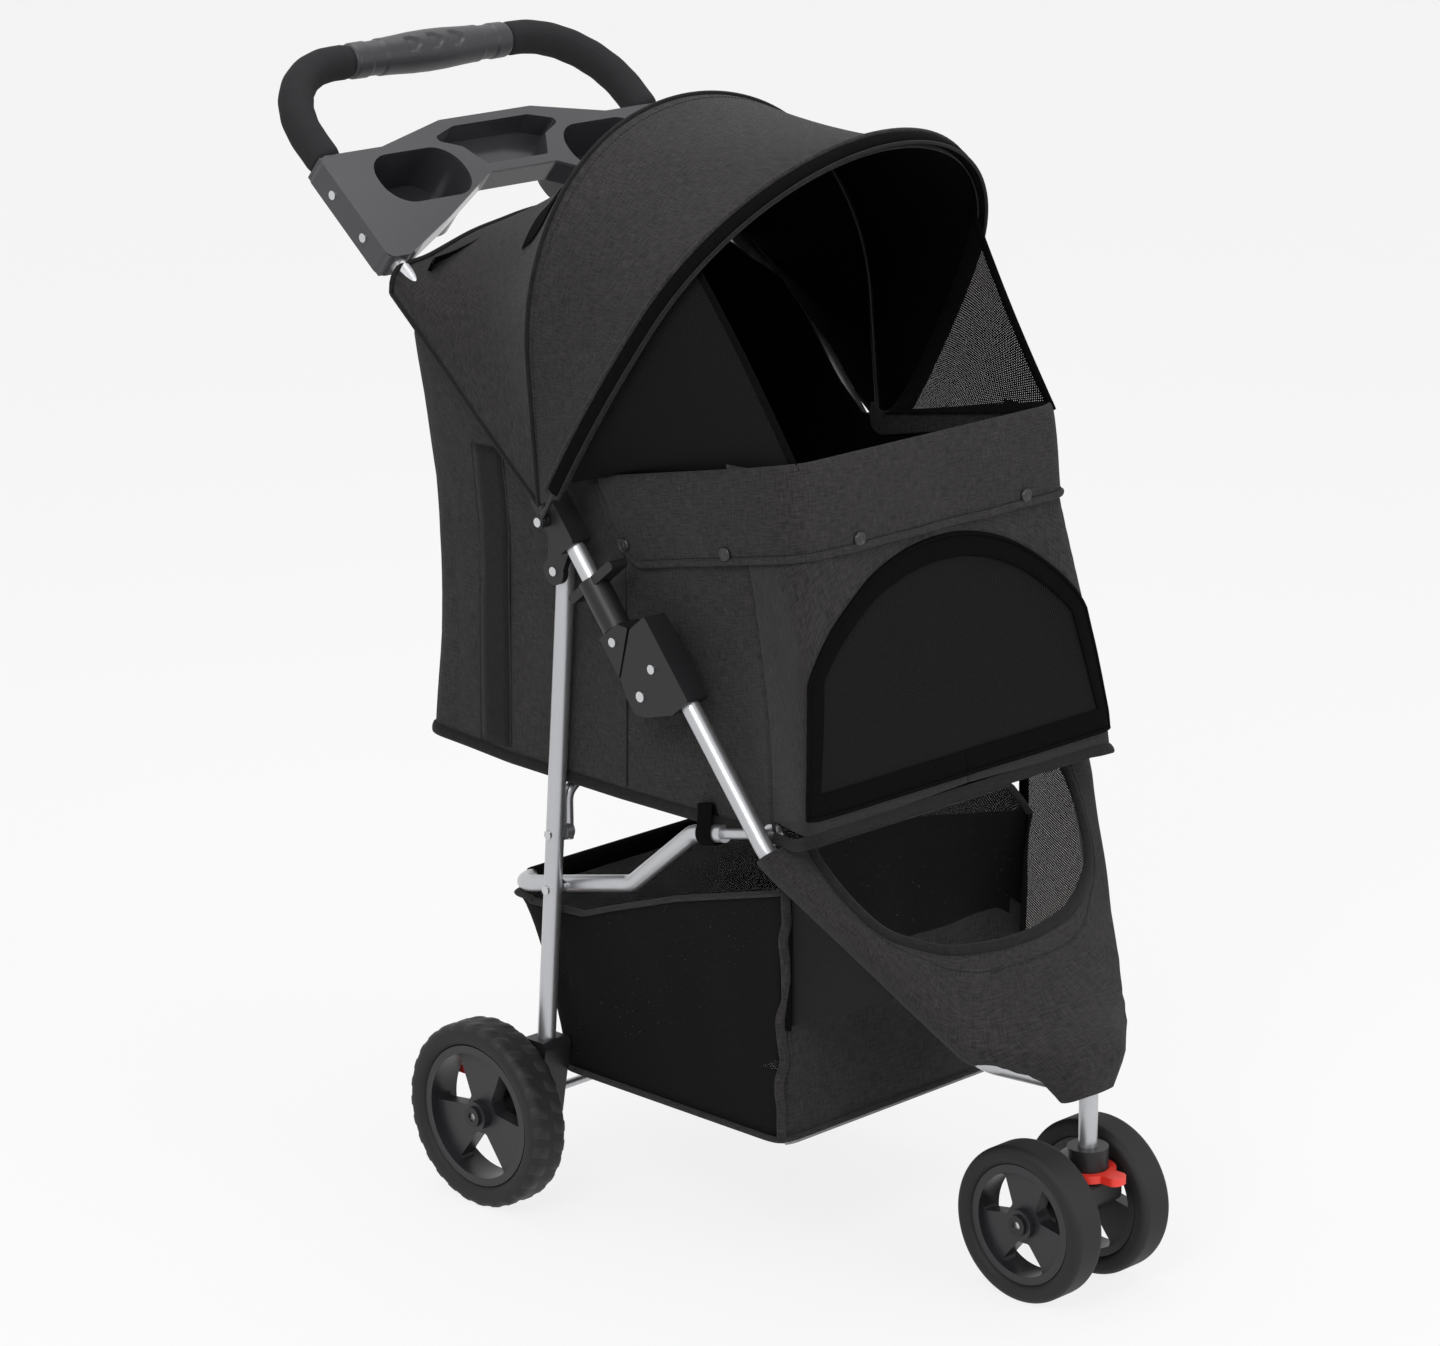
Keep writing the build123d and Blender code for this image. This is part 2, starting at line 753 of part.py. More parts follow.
mount_head_y = leg_point(leg_length - mount_head_z + foot_z)[0]
mount_outline = [
    (mount_head_y - mount_head_half, mount_head_z),
    (mount_head_y + mount_head_half, mount_head_z),
    (foot_y + mount_head_half, foot_z + 2 * mount_head_half),
    (mount_rear_y, pedal_pivot_z + pedal_hub_dia / 2),
    (mount_rear_y, mount_low_z + mount_corner),
    (rear_axle_y - mount_boss_dia / 2, mount_low_z),
    (foot_y - mount_head_half / 2, foot_z - mount_head_half),
]
for name, side in sides.items():
    with BuildPart() as wheel_mount:
        with BuildSketch(side_plane(low_x(side, mount_inner_x, mount_outer_x))) as body:
            Polygon(*mount_outline, align=None)
            fillet(body.vertices(), radius=mount_corner)
        extrude(amount=mount_outer_x - mount_inner_x)
        for ear_x in (mount_inner_x, mount_outer_x - pedal_ear):
            with BuildSketch(side_plane(low_x(side, ear_x, ear_x + pedal_ear))):
                with Locations((pedal_pivot_y, pedal_pivot_z)):
                    Circle(pedal_hub_dia / 2)
                with Locations(((pedal_pivot_y + mount_rear_y) / 2 - mount_corner, pedal_pivot_z)):
                    Rectangle(pedal_pivot_y - mount_rear_y + 2 * mount_corner, pedal_hub_dia)
            extrude(amount=pedal_ear)
        with BuildSketch(side_plane(low_x(side, mount_boss_x, mount_inner_x))):
            with Locations((rear_axle_y, rear_axle_z)):
                Circle(mount_boss_dia / 2)
        extrude(amount=mount_inner_x - mount_boss_x)
        with BuildSketch(side_plane(low_x(side, mount_boss_x - 1, mount_outer_x + 1))):
            with Locations((rear_axle_y, rear_axle_z)):
                Circle(axle_dia / 2 + seat_gap)
            with Locations((pedal_pivot_y, pedal_pivot_z)):
                Circle(pedal_pin_dia / 2 + seat_gap)
        extrude(amount=mount_outer_x - mount_boss_x + 2, mode=Mode.SUBTRACT)
        add(leg_clearance[name], mode=Mode.SUBTRACT)
    save(wheel_mount.part, f"wheel_mount_{name}")

    pedal_inner = mount_inner_x + pedal_ear + part_gap
    pedal_outer = mount_outer_x - pedal_ear - part_gap
    with BuildPart() as pedal:
        with BuildSketch(side_plane(low_x(side, pedal_inner, pedal_outer))):
            with Locations((pedal_pivot_y, pedal_pivot_z)):
                Circle(pedal_hub_dia / 2 - part_gap)
            with Locations((pedal_pivot_y + pedal_reach / 2, pedal_pivot_z + pedal_lift)):
                Rectangle(pedal_reach, pedal_thick)
        extrude(amount=pedal_outer - pedal_inner)
        with BuildSketch(side_plane(low_x(side, mount_inner_x, mount_outer_x))):
            with Locations((pedal_pivot_y + pedal_reach - pedal_pad / 2, pedal_pivot_z + pedal_lift)):
                RectangleRounded(pedal_pad, pedal_thick + 2, pedal_thick / 2)
        extrude(amount=mount_outer_x - mount_inner_x)
        with BuildSketch(side_plane(low_x(side, pedal_inner - 1, pedal_outer + 1))):
            with Locations((pedal_pivot_y, pedal_pivot_z)):
                Circle(pedal_pin_dia / 2 + seat_gap)
        extrude(amount=pedal_outer - pedal_inner + 2, mode=Mode.SUBTRACT)
    save(pedal.part, f"brake_pedal_{name}")

pedal_pin_spots = [((pedal_pivot_y, pedal_pivot_z), mount_inner_x, mount_outer_x)]
pin_pairs("pedal_pins", pedal_pin_dia, rivet_head_dia, pedal_pin_spots)


# Wheels: a rubber tyre on a rim with three wide spokes
def wheel(name, side, axle_y, radius, tyre_depth, inner_x, outer_x, hub_inner, hub_outer):
    """One tyre and its rim, between two distances from the middle plane."""
    width = outer_x - inner_x
    mid_x = (inner_x + outer_x) / 2
    rim_radius = radius - tyre_depth
    hub_radius = axle_dia / 2 + hub_wall
    with BuildPart() as tyre:
        with BuildSketch(Plane.XZ.offset(-axle_y)):
            with Locations((side * mid_x, radius + rim_radius + tyre_depth / 2)):
                RectangleRounded(width, tyre_depth, tyre_depth * tyre_round)
        revolve(axis=Axis((0, axle_y, radius), (1, 0, 0)))
    save(tyre.part, f"{name}_tyre")

    with BuildSketch() as window:
        with BuildLine():
            inner_angle = window_angle - 2 * window_taper
            inner_arc = CenterArc((0, 0), hub_radius + hub_web, -inner_angle / 2, inner_angle)
            outer_arc = CenterArc((0, 0), rim_radius - rim_ring, -window_angle / 2, window_angle)
            Line(inner_arc @ 0, outer_arc @ 0)
            Line(inner_arc @ 1, outer_arc @ 1)
        make_face()
        fillet(window.vertices(), radius=window_corner)

    with BuildPart() as rim:
        with BuildSketch(side_plane(low_x(side, inner_x + rim_inset, outer_x - rim_inset))):
            with Locations((axle_y, radius)):
                Circle(rim_radius - seat_gap)
                Circle(rim_radius - rim_ring, mode=Mode.SUBTRACT)
        extrude(amount=width - 2 * rim_inset)
        with BuildSketch(side_plane(low_x(side, mid_x - spoke_thick / 2, mid_x + spoke_thick / 2))):
            with Locations((axle_y, radius)):
                Circle(rim_radius - rim_ring + 1)
            with Locations((axle_y, radius)):
                with PolarLocations(0, spoke_count, start_angle=30):
                    add(window.sketch, mode=Mode.SUBTRACT)
        extrude(amount=spoke_thick)
        with BuildSketch(side_plane(low_x(side, hub_inner, hub_outer))):
            with Locations((axle_y, radius)):
                Circle(hub_radius)
        extrude(amount=hub_outer - hub_inner)
        with BuildSketch(side_plane(low_x(side, hub_inner - 1, hub_outer + 1))):
            with Locations((axle_y, radius)):
                Circle(axle_dia / 2 + wheel_gap)
        extrude(amount=hub_outer - hub_inner + 2, mode=Mode.SUBTRACT)
    save(rim.part, f"{name}_rim")


front_axle_z = front_radius
front_in_x = front_mid_x - front_width / 2
front_out_x = front_mid_x + front_width / 2
for name, side in sides.items():
    rear_in_x = rear_face_x - rear_width
    wheel(
        f"rear_{name}", side, rear_axle_y, rear_radius, rear_tyre_depth,
        rear_in_x, rear_face_x, mount_outer_x + part_gap, hub_out_x,
    )
    wheel(
        f"front_{name}", side, front_axle_y, front_radius, front_tyre_depth,
        front_in_x, front_out_x, fork_half_x + part_gap, front_out_x - cap_thick,
    )


# Caster: nose block, stem, swivelling fork, axle and lock ring
nose_rear_y = hinge_point(nose_along, front_tube_offset)[0] + tube_dia
nose_front_y = stem_y - nose_depth
nose_mid_y = (nose_rear_y + nose_front_y) / 2
nose_run = nose_rear_y - nose_front_y
with BuildPart() as nose_block:
    with BuildSketch(Plane.XY.offset(nose_low_z)):
        with Locations((0, nose_mid_y)):
            RectangleRounded(2 * nose_half_x, nose_run, nose_corner)
    extrude(amount=nose_top_z - nose_low_z)
    for tube in front_clearance.values():
        add(tube, mode=Mode.SUBTRACT)
    with BuildSketch(Plane.XY.offset(nose_low_z)):
        with Locations((0, stem_y)):
            Circle(tube_radius + seat_gap)
    extrude(amount=stem_top_z - nose_low_z, mode=Mode.SUBTRACT)
save(nose_block.part, "nose_block")

with BuildPart() as steering_stem:
    with BuildSketch(Plane.XY.offset(stem_low_z)):
        with Locations((0, stem_y)):
            Circle(tube_radius)
            Circle(tube_radius - tube_wall, mode=Mode.SUBTRACT)
    extrude(amount=stem_top_z - stem_low_z)
save(steering_stem.part, "steering_stem")

with BuildPart() as stem_collar:
    with BuildSketch(Plane.XY.offset(stem_collar_low_z)):
        with Locations((0, stem_y)):
            Circle(stem_collar_dia / 2)
            Circle(kingpin_dia / 2 + seat_gap, mode=Mode.SUBTRACT)
    extrude(amount=stem_collar_top_z - stem_collar_low_z)
    with BuildSketch(Plane.XY.offset(stem_low_z)):
        with Locations((0, stem_y)):
            Circle(tube_radius + seat_gap)
    extrude(amount=stem_collar_top_z - stem_low_z, mode=Mode.SUBTRACT)
save(stem_collar.part, "stem_collar")

fork_tail_z = front_axle_z - fork_axle_wall
with BuildPart() as caster_fork:
    with BuildSketch(side_plane(-fork_half_x)) as cheek:
        Polygon(
            (fork_front_y, fork_head_z),
            (stem_y + stem_collar_dia / 2, fork_head_z),
            (fork_rear_y, front_axle_z + fork_axle_wall),
            (fork_rear_y, front_axle_z - fork_axle_wall / 2),
            (front_axle_y, fork_tail_z),
            (fork_front_y, front_axle_z + fork_axle_wall),
            align=None,
        )
        fillet(cheek.vertices(), radius=fork_corner)
        with Locations((front_axle_y, front_axle_z)):
            Circle(axle_dia / 2 + seat_gap, mode=Mode.SUBTRACT)
    extrude(amount=2 * fork_half_x)
    with BuildSketch(Plane.XY.offset(front_axle_z + axle_dia)):
        with Locations((0, stem_y)):
            Circle(kingpin_dia / 2 + seat_gap)
    extrude(amount=fork_head_z - front_axle_z, mode=Mode.SUBTRACT)
save(caster_fork.part, "caster_fork")

with BuildPart() as kingpin:
    with BuildSketch(Plane.XY.offset(front_axle_z + axle_dia)):
        with Locations((0, stem_y)):
            Circle(kingpin_dia / 2)
    extrude(amount=kingpin_top_z - front_axle_z - axle_dia)
    with BuildSketch(Plane.XY.offset(kingpin_top_z - kingpin_nut)):
        with Locations((0, stem_y)):
            Circle(kingpin_nut_dia / 2)
    extrude(amount=kingpin_nut)
save(kingpin.part, "kingpin")

front_hub_x = front_out_x - cap_thick
with BuildPart() as front_axle:
    with BuildSketch(side_plane(-front_hub_x - 1)):
        with Locations((front_axle_y, front_axle_z)):
            Circle(axle_dia / 2)
    extrude(amount=2 * (front_hub_x + 1))
save(front_axle.part, "front_axle")

with BuildPart() as front_axle_caps:
    for side in sides.values():
        with BuildSketch(side_plane(low_x(side, front_hub_x + cap_gap, front_out_x))):
            with Locations((front_axle_y, front_axle_z)):
                Circle(cap_dia / 2)
                Circle(axle_dia / 2 + seat_gap, mode=Mode.SUBTRACT)
        extrude(amount=cap_thick - cap_gap)
save(front_axle_caps.part, "front_axle_caps")

with BuildPart() as swivel_lock:
    with BuildSketch(Plane.XY.offset(fork_head_z + part_gap)):
        with Locations((0, stem_y)):
            Circle(lock_outer_dia / 2)
        with Locations((0, stem_y - lock_outer_dia / 2)):
            RectangleRounded(lock_tab_width, 2 * lock_tab, lock_tab / 2)
        with Locations((0, stem_y)):
            Circle(stem_collar_dia / 2 + part_gap, mode=Mode.SUBTRACT)
    extrude(amount=lock_thick)
save(swivel_lock.part, "swivel_lock")

# Brace under the cabin, riveted to the inner faces of the legs
brace_outer = leg_face - rest_gap
brace_inner = brace_outer - brace_eye_thick
brace_top_z = cabin_floor_z - rest_gap - brace_dia / 2
brace_start = brace_inner - brace_dia / 2 + brace_eye_lap
brace_knee_z = brace_z + brace_knee_share * (brace_top_z - brace_z)
with BuildPart() as cabin_brace:
    half_route = [
        (brace_start, brace_y, brace_z - brace_eye_dia / 2),
        (brace_start, brace_y, brace_knee_z),
        (brace_top_x, brace_y, brace_top_z),
    ]
    other_half = [(-x, y, z) for x, y, z in reversed(half_route)]
    add(swept_rod(half_route + other_half, [brace_bend] * 4, brace_dia))
    for side in sides.values():
        with BuildSketch(side_plane(low_x(side, brace_inner - brace_dia / 2, brace_outer))):
            with Locations((brace_y, brace_z)):
                Circle(brace_eye_dia / 2)
        extrude(amount=brace_outer - brace_inner + brace_dia / 2)
        with BuildSketch(side_plane(low_x(side, brace_inner - brace_dia, brace_outer + brace_eye_lap))):
            with Locations((brace_y, brace_z)):
                Circle(rivet_dia / 2 + seat_gap)
        extrude(amount=brace_outer + brace_eye_lap - brace_inner + brace_dia, mode=Mode.SUBTRACT)
save(cabin_brace.part, "cabin_brace")
leg_out = leg_x + tube_radius
pin_pairs("brace_rivets", rivet_dia, rivet_head_dia, [((brace_y, brace_z), brace_inner, leg_out)])

# Basket rail: one bent tube with thin tips, hung on two shouldered pins
rail_knee_z = rail_pivot_z + (rail_pivot_y - rail_knee_y) * tan(radians(rail_slope))
rail_rear_z = rail_pivot_z - (rail_rear_y - rail_pivot_y) * tan(radians(rail_slope))
rail_rise = Vector(rail_rise_x, rail_rise_y, rail_rise_z)
rail_tip = Vector(rail_tip_x, rail_tip_y, rail_tip_z)
tip_way = (rail_rise - rail_tip).normalized()
tube_end = rail_tip + tip_way * rail_tip_length
rail_half = [
    tuple(tube_end),
    tuple(rail_rise),
    (rail_x, rail_knee_y, rail_knee_z),
    (rail_x, rail_rear_y, rail_rear_z),
]
rail_route = rail_half + [(-x, y, z) for x, y, z in reversed(rail_half)]
rail_radii = [rail_knee_radius, rail_knee_radius, rail_corner_radius]
rail_radii += reversed(rail_radii)
with BuildPart() as basket_rail:
    add(swept_rod(rail_route, rail_radii, rail_dia, tube_wall))
    for side in sides.values():
        rod_start = tube_end + tip_way * rail_tip_dia
        rod_end = rail_tip + tip_way * rail_tip_dia / 2
        rod_ends = [(side * end.X, end.Y, end.Z) for end in (rod_start, rod_end)]
        add(swept_rod(rod_ends, [], rail_tip_dia))
        plug_end = tube_end + tip_way * rail_tip_dia
        plug_ends = [(side * end.X, end.Y, end.Z) for end in (tube_end, plug_end)]
        add(swept_rod(plug_ends, [], rail_dia))
        eye_inner = rail_tip_x - rail_eye_thick / 2
        with BuildSketch(side_plane(low_x(side, eye_inner, eye_inner + rail_eye_thick))):
            with Locations((rail_tip_y, rail_tip_z)):
                Circle(rail_eye_dia / 2)
        extrude(amount=rail_eye_thick)
        with BuildSketch(side_plane(low_x(side, rail_x - rail_dia, rail_x + rail_dia))):
            with Locations((rail_pivot_y, rail_pivot_z)):
                Circle(hinge_pin_dia / 2 + seat_gap)
        extrude(amount=2 * rail_dia, mode=Mode.SUBTRACT)
save(basket_rail.part, "basket_rail")

rail_pin_inner = rail_x - rail_radius - 1
rail_face = rail_x + rail_radius + rest_gap
with BuildPart() as rail_pivot_pins:
    for side in sides.values():
        for inner, outer, dia in (
            (rail_pin_inner, leg_out, hinge_pin_dia),
            (rail_face, leg_face - seat_gap, rail_shoulder_dia),
            (leg_out, leg_out + rivet_head, rivet_head_dia),
        ):
            with BuildSketch(side_plane(low_x(side, inner, outer))):
                with Locations((rail_pivot_y, rail_pivot_z)):
                    Circle(dia / 2)
            extrude(amount=outer - inner)
save(rail_pivot_pins.part, "rail_pivot_pins")

lug_inner = rail_tip_x + rail_tip_dia / 2 + lug_gap
with BuildPart() as rail_lugs:
    for name, side in sides.items():
        with BuildSketch(side_plane(low_x(side, lug_inner, side_x))):
            with Locations((rail_tip_y, rail_tip_z)):
                Circle(lug_dia / 2)
        extrude(amount=side_x - lug_inner)
        add(front_clearance[name], mode=Mode.SUBTRACT)
save(rail_lugs.part, "rail_lugs")

with BuildPart() as rail_loops:
    loop_mid = tube_end + tip_way * (loop_length / 2 + rail_tip_dia)
    for side in sides.values():
        loop_way = Vector(side * tip_way.X, tip_way.Y, tip_way.Z)
        loop_spot = Vector(side * loop_mid.X, loop_mid.Y, loop_mid.Z)
        with BuildSketch(Plane(origin=loop_spot - loop_way * loop_length / 2, z_dir=loop_way)):
            Circle(rail_radius + loop_wall)
        extrude(amount=loop_length)
        with BuildSketch(Plane.XY.offset(loop_mid.Z)):
            with Locations((side * (loop_mid.X - loop_strap_width / 2), loop_mid.Y)):
                Rectangle(loop_strap_width, loop_strap_width)
        extrude(amount=cabin_floor_z - rest_gap - loop_mid.Z)
    add(swept_rod(rail_route, rail_radii, rail_dia + 2 * seat_gap), mode=Mode.SUBTRACT)
save(rail_loops.part, "rail_loops")


# Cabin bag: four soft walls, a stiff floor, a zipped door and a folded cuff
def cabin_front(z):
    """Half width and Y of the cabin's front edge at a height."""
    share = (z - cabin_floor_z) / (cabin_front_top_z - cabin_floor_z)
    x = cabin_front_low_x + share * (cabin_front_top_x - cabin_front_low_x)
    y = cabin_front_low_y + share * (cabin_front_top_y - cabin_front_low_y)
    return x, y


def cabin_rear_y(z):
    """Y of the cabin's rear wall at a height."""
    share = (z - cabin_floor_z) / (cabin_brim_z - cabin_floor_z)
    return cabin_rear_low_y + share * (cabin_rear_top_y - cabin_rear_low_y)


def cabin_outline(z, half, grow):
    """The cabin's outline at a height, moved outward by a distance."""
    front_x, front_y = cabin_front(z)
    one_side = [
        (half + grow, cabin_rear_y(z) + grow),
        (half + grow, cabin_side_front_y),
        (front_x + grow, front_y - grow),
    ]
    return one_side + [(-x, y) for x, y in reversed(one_side)]


def cabin_block(grow):
    """The cabin as a solid block, moved outward by a distance."""
    levels = [
        (cabin_floor_z, cabin_half),
        (cabin_waist_z, cabin_half),
        (cabin_brim_z, cabin_brim_half),
    ]
    with BuildPart() as block:
        for z, half in levels:
            with BuildSketch(Plane.XY.offset(z)):
                Polygon(*cabin_outline(z, half, grow), align=None)
        loft(ruled=True)
    return block.part


def door_arch(shrink):
    """The door's arch, made smaller by a distance, as a bar that runs through the cabin's front."""
    with BuildPart() as arch:
        with BuildSketch(Plane.XZ.offset(-cabin_front_top_y)):
            with BuildLine():
                Polyline(
                    (door_spring_half - shrink, door_spring_z),
                    (door_sill_half - shrink, door_sill_z + shrink),
                    (-door_sill_half + shrink, door_sill_z + shrink),
                    (-door_spring_half + shrink, door_spring_z),
                )
                ThreePointArc(
                    (-door_spring_half + shrink, door_spring_z),
                    (0, door_top_z - shrink),
                    (door_spring_half - shrink, door_spring_z),
                )
            make_face()
        extrude(amount=cabin_front_top_y - cabin_front_low_y + cabin_wall)
    return arch.part


floor_top_z = cabin_floor_z + floor_board
with BuildPart() as cabin_floor:
    with BuildSketch(Plane.XY.offset(cabin_floor_z)):
        Polygon(*cabin_outline(cabin_floor_z, cabin_half, -cabin_wall), align=None)
        Polygon(
            *cabin_outline(floor_top_z + floor_clear, cabin_half, -cabin_wall - seat_gap),
            align=None,
            mode=Mode.INTERSECT,
        )
    extrude(amount=floor_board)
save(cabin_floor.part, "cabin_floor")

reach_y = 2 * cabin_rear_top_y
with BuildPart() as cabin_walls:
    add(cabin_block(0))
    add(cabin_block(-cabin_wall), mode=Mode.SUBTRACT)
    with BuildSketch(side_plane(-side_x)):
        Polygon(
            (reach_y, floor_top_z + seat_gap),
            (reach_y, cabin_rear_top_z),
            (cabin_rear_y(cabin_rear_top_z) - cabin_wall, cabin_rear_top_z),
            (cabin_dip_y, cabin_dip_z),
            (flap_end_y, flap_end_top_z),
            (cabin_front_top_y, cabin_front_top_z),
            (-reach_y, cabin_front_top_z),
            (-reach_y, floor_top_z + seat_gap),
            align=None,
        )
    extrude(amount=2 * side_x, mode=Mode.INTERSECT)
    add(door_arch(0), mode=Mode.SUBTRACT)
save(cabin_walls.part, "cabin_walls")

with BuildPart() as door_mesh:
    add(cabin_block(0))
    add(cabin_block(-cabin_wall), mode=Mode.SUBTRACT)
    add(door_arch(door_gap), mode=Mode.INTERSECT)
save(door_mesh.part, "door_mesh")

with BuildPart() as front_flap:
    add(cabin_block(rest_gap + flap_thick))
    add(cabin_block(rest_gap), mode=Mode.SUBTRACT)
    with BuildSketch(side_plane(-side_x)):
        Polygon(
            (flap_end_y, flap_end_top_z),
            (cabin_front_top_y, cabin_front_top_z),
            (-reach_y, cabin_front_top_z),
            (-reach_y, cabin_front_top_z - flap_height),
            (cabin_front_top_y, cabin_front_top_z - flap_height),
            (flap_end_low_y, flap_end_top_z - flap_height / 2),
            align=None,
        )
    extrude(amount=2 * side_x, mode=Mode.INTERSECT)
save(front_flap.part, "front_flap")


# Hood: two wire bows on the leg brackets and one skin over them
def bow_plane(angle):
    """Plane of a bow: its own axes are X and the bow's height from the hood pivot."""
    tilt = radians(angle)
    return Plane(
        origin=(0, hood_pivot_y, hood_pivot_z),
        x_dir=(1, 0, 0),
        z_dir=(0, -sin(tilt), cos(tilt)),
    )


def arch_shoulder(half, straight, crown_ease, height):
    """Radius of an arch's shoulders; its crown's radius is eased from the half width by how flat the arch is."""
    crown = half + crown_ease * (half - height + straight)
    lift = height - crown - straight
    return (half**2 + lift**2 - crown**2) / (2 * (half - crown))


def arch_points(half, straight, shoulder, height):
    """Ends and middles of an arch's shoulder and crown arcs, on its +X side."""
    reach = half - shoulder
    fall = straight - height
    crown = (shoulder**2 - reach**2 - fall**2) / (2 * (fall + shoulder))
    crown_mid = height - crown
    way = Vector(reach, straight - crown_mid) / (crown - shoulder)
    meet = Vector(0, crown_mid) + way * crown
    corner = Vector(reach, straight) + (way + Vector(1, 0)).normalized() * shoulder
    return (corner.X, corner.Y), (meet.X, meet.Y)


def arch_line(half, straight, shoulder, height, start):
    """Lines and arcs of an arch from its +X foot to its -X foot, in the running line block."""
    corner, meet = arch_points(half, straight, shoulder, height)
    Line((half, start), (half, straight))
    ThreePointArc((half, straight), corner, meet)
    ThreePointArc(meet, (0, height), (-meet[0], meet[1]))
    ThreePointArc((-meet[0], meet[1]), (-corner[0], corner[1]), (-half, straight))
    Line((-half, straight), (-half, start))


front_bow_shoulder = arch_shoulder(front_bow_x, front_bow_straight, front_crown_ease, front_bow_height)
rear_bow_shoulder = arch_shoulder(rear_bow_x, rear_bow_straight, rear_crown_ease, rear_bow_height)
hood_rear_shoulder = arch_shoulder(hood_rear_x, hood_rear_straight, hood_rear_crown_ease, hood_rear_height)
front_bow = (front_bow_x, front_bow_straight, front_bow_shoulder, front_bow_height)
rear_bow = (rear_bow_x, rear_bow_straight, rear_bow_shoulder, rear_bow_height)
for name, angle, shape in (("front", front_bow_angle, front_bow), ("rear", rear_bow_angle, rear_bow)):
    with BuildPart() as bow:
        with BuildLine(bow_plane(angle)) as bow_route:
            arch_line(*shape, bow_dia)
        with BuildSketch(Plane(origin=bow_route.line @ 0, z_dir=bow_route.line % 0)):
            Circle(bow_dia / 2)
        sweep()
        eye_low = shape[0] - bow_eye_thick / 2
        for side in sides.values():
            with BuildSketch(side_plane(low_x(side, eye_low, eye_low + bow_eye_thick))):
                with Locations((hood_pivot_y, hood_pivot_z)):
                    Circle(bow_eye_dia / 2)
            extrude(amount=bow_eye_thick)
        with BuildSketch(side_plane(-shape[0] - bow_eye_thick)):
            with Locations((hood_pivot_y, hood_pivot_z)):
                Circle(rivet_dia / 2 + seat_gap)
        extrude(amount=2 * (shape[0] + bow_eye_thick), mode=Mode.SUBTRACT)
    save(bow.part, f"hood_bow_{name}")

hood_rear_y, hood_rear_z = tray_point(hood_rear_down, -hood_rear_drop)
hood_rear_plane = Plane(origin=(0, hood_rear_y, hood_rear_z), x_dir=(1, 0, 0), z_dir=(0, -1, 0))
bow_clear = bow_dia / 2 + hood_gap
hood_stations = [
    (hood_rear_plane, hood_rear_x, hood_rear_straight, hood_rear_shoulder, hood_rear_height, 0),
    (
        bow_plane(rear_bow_angle),
        rear_bow_x + bow_clear,
        rear_bow_straight,
        rear_bow_shoulder + bow_clear,
        rear_bow_height + bow_clear,
        hood_rear_start,
    ),
    (
        bow_plane(front_bow_angle),
        front_bow_x + bow_clear,
        front_bow_straight,
        front_bow_shoulder + bow_clear,
        front_bow_height + bow_clear,
        hood_front_start,
    ),
]
with BuildPart() as hood:
    for plane, half, straight, shoulder, height, start in hood_stations:
        with BuildSketch(plane):
            with BuildLine():
                arch_line(half, straight, shoulder, height, start)
                arch_line(half + hood_thick, straight, shoulder + hood_thick, height + hood_thick, start)
                for side in sides.values():
                    Line((side * half, start), (side * (half + hood_thick), start))
            make_face()
    loft(ruled=True)
save(hood.part, "hood")

# Side gussets of mesh between the hood's front edge and the cuff
with BuildPart() as hood_gussets:
    reach_spot = bow_plane(front_bow_angle).from_local_coords((0, gusset_reach, 0))
    gusset_rise = gusset_reach - front_bow_straight
    bow_half = front_bow_x - front_bow_shoulder + (front_bow_shoulder**2 - gusset_rise**2) ** 0.5
    for side in sides.values():
        heel = Vector(side * (cabin_half - cabin_wall), flap_end_y, flap_end_top_z + part_gap)
        toe = Vector(side * cabin_front_top_x, cabin_front_top_y, cabin_front_top_z + part_gap)
        head = Vector(side * (bow_half - gusset_inset), reach_spot.Y, reach_spot.Z)
        skin = Plane(origin=heel, x_dir=toe - heel, z_dir=(toe - heel).cross(head - heel))
        corners = [skin.to_local_coords(corner) for corner in (heel, toe, head)]
        with BuildSketch(skin):
            Polygon(*[(corner.X, corner.Y) for corner in corners], align=None)
        extrude(amount=gusset_thick)
save(hood_gussets.part, "hood_gussets")

# Basket bag under the rail
basket_top_drop = (rail_radius + basket_rail_gap) / cos(radians(rail_slope))


def basket_top_z(y):
    """Height of the basket's rim below the rail's side run."""
    return rail_pivot_z + (rail_pivot_y - y) * tan(radians(rail_slope)) - basket_top_drop


with BuildPart() as basket:
    with BuildSketch(side_plane(-basket_half)):
        Polygon(
            (basket_front_y, basket_low_z),
            (basket_rear_low_y, basket_low_z),
            (basket_rear_top_y, basket_top_z(basket_rear_top_y)),
            (basket_front_top_y, basket_top_z(basket_front_top_y)),
            align=None,
        )
    extrude(amount=2 * basket_half)
    with BuildSketch(side_plane(-basket_half + basket_wall)):
        Polygon(
            (basket_front_y + basket_wall, basket_low_z + basket_base),
            (basket_rear_low_y - basket_wall, basket_low_z + basket_base),
            (basket_rear_top_y - basket_wall, basket_top_z(basket_rear_top_y)),
            (basket_rear_top_y - basket_wall, basket_top_z(basket_front_top_y)),
            (basket_front_top_y + basket_wall, basket_top_z(basket_front_top_y)),
            align=None,
        )
    extrude(amount=2 * (basket_half - basket_wall), mode=Mode.SUBTRACT)
save(basket.part, "basket")

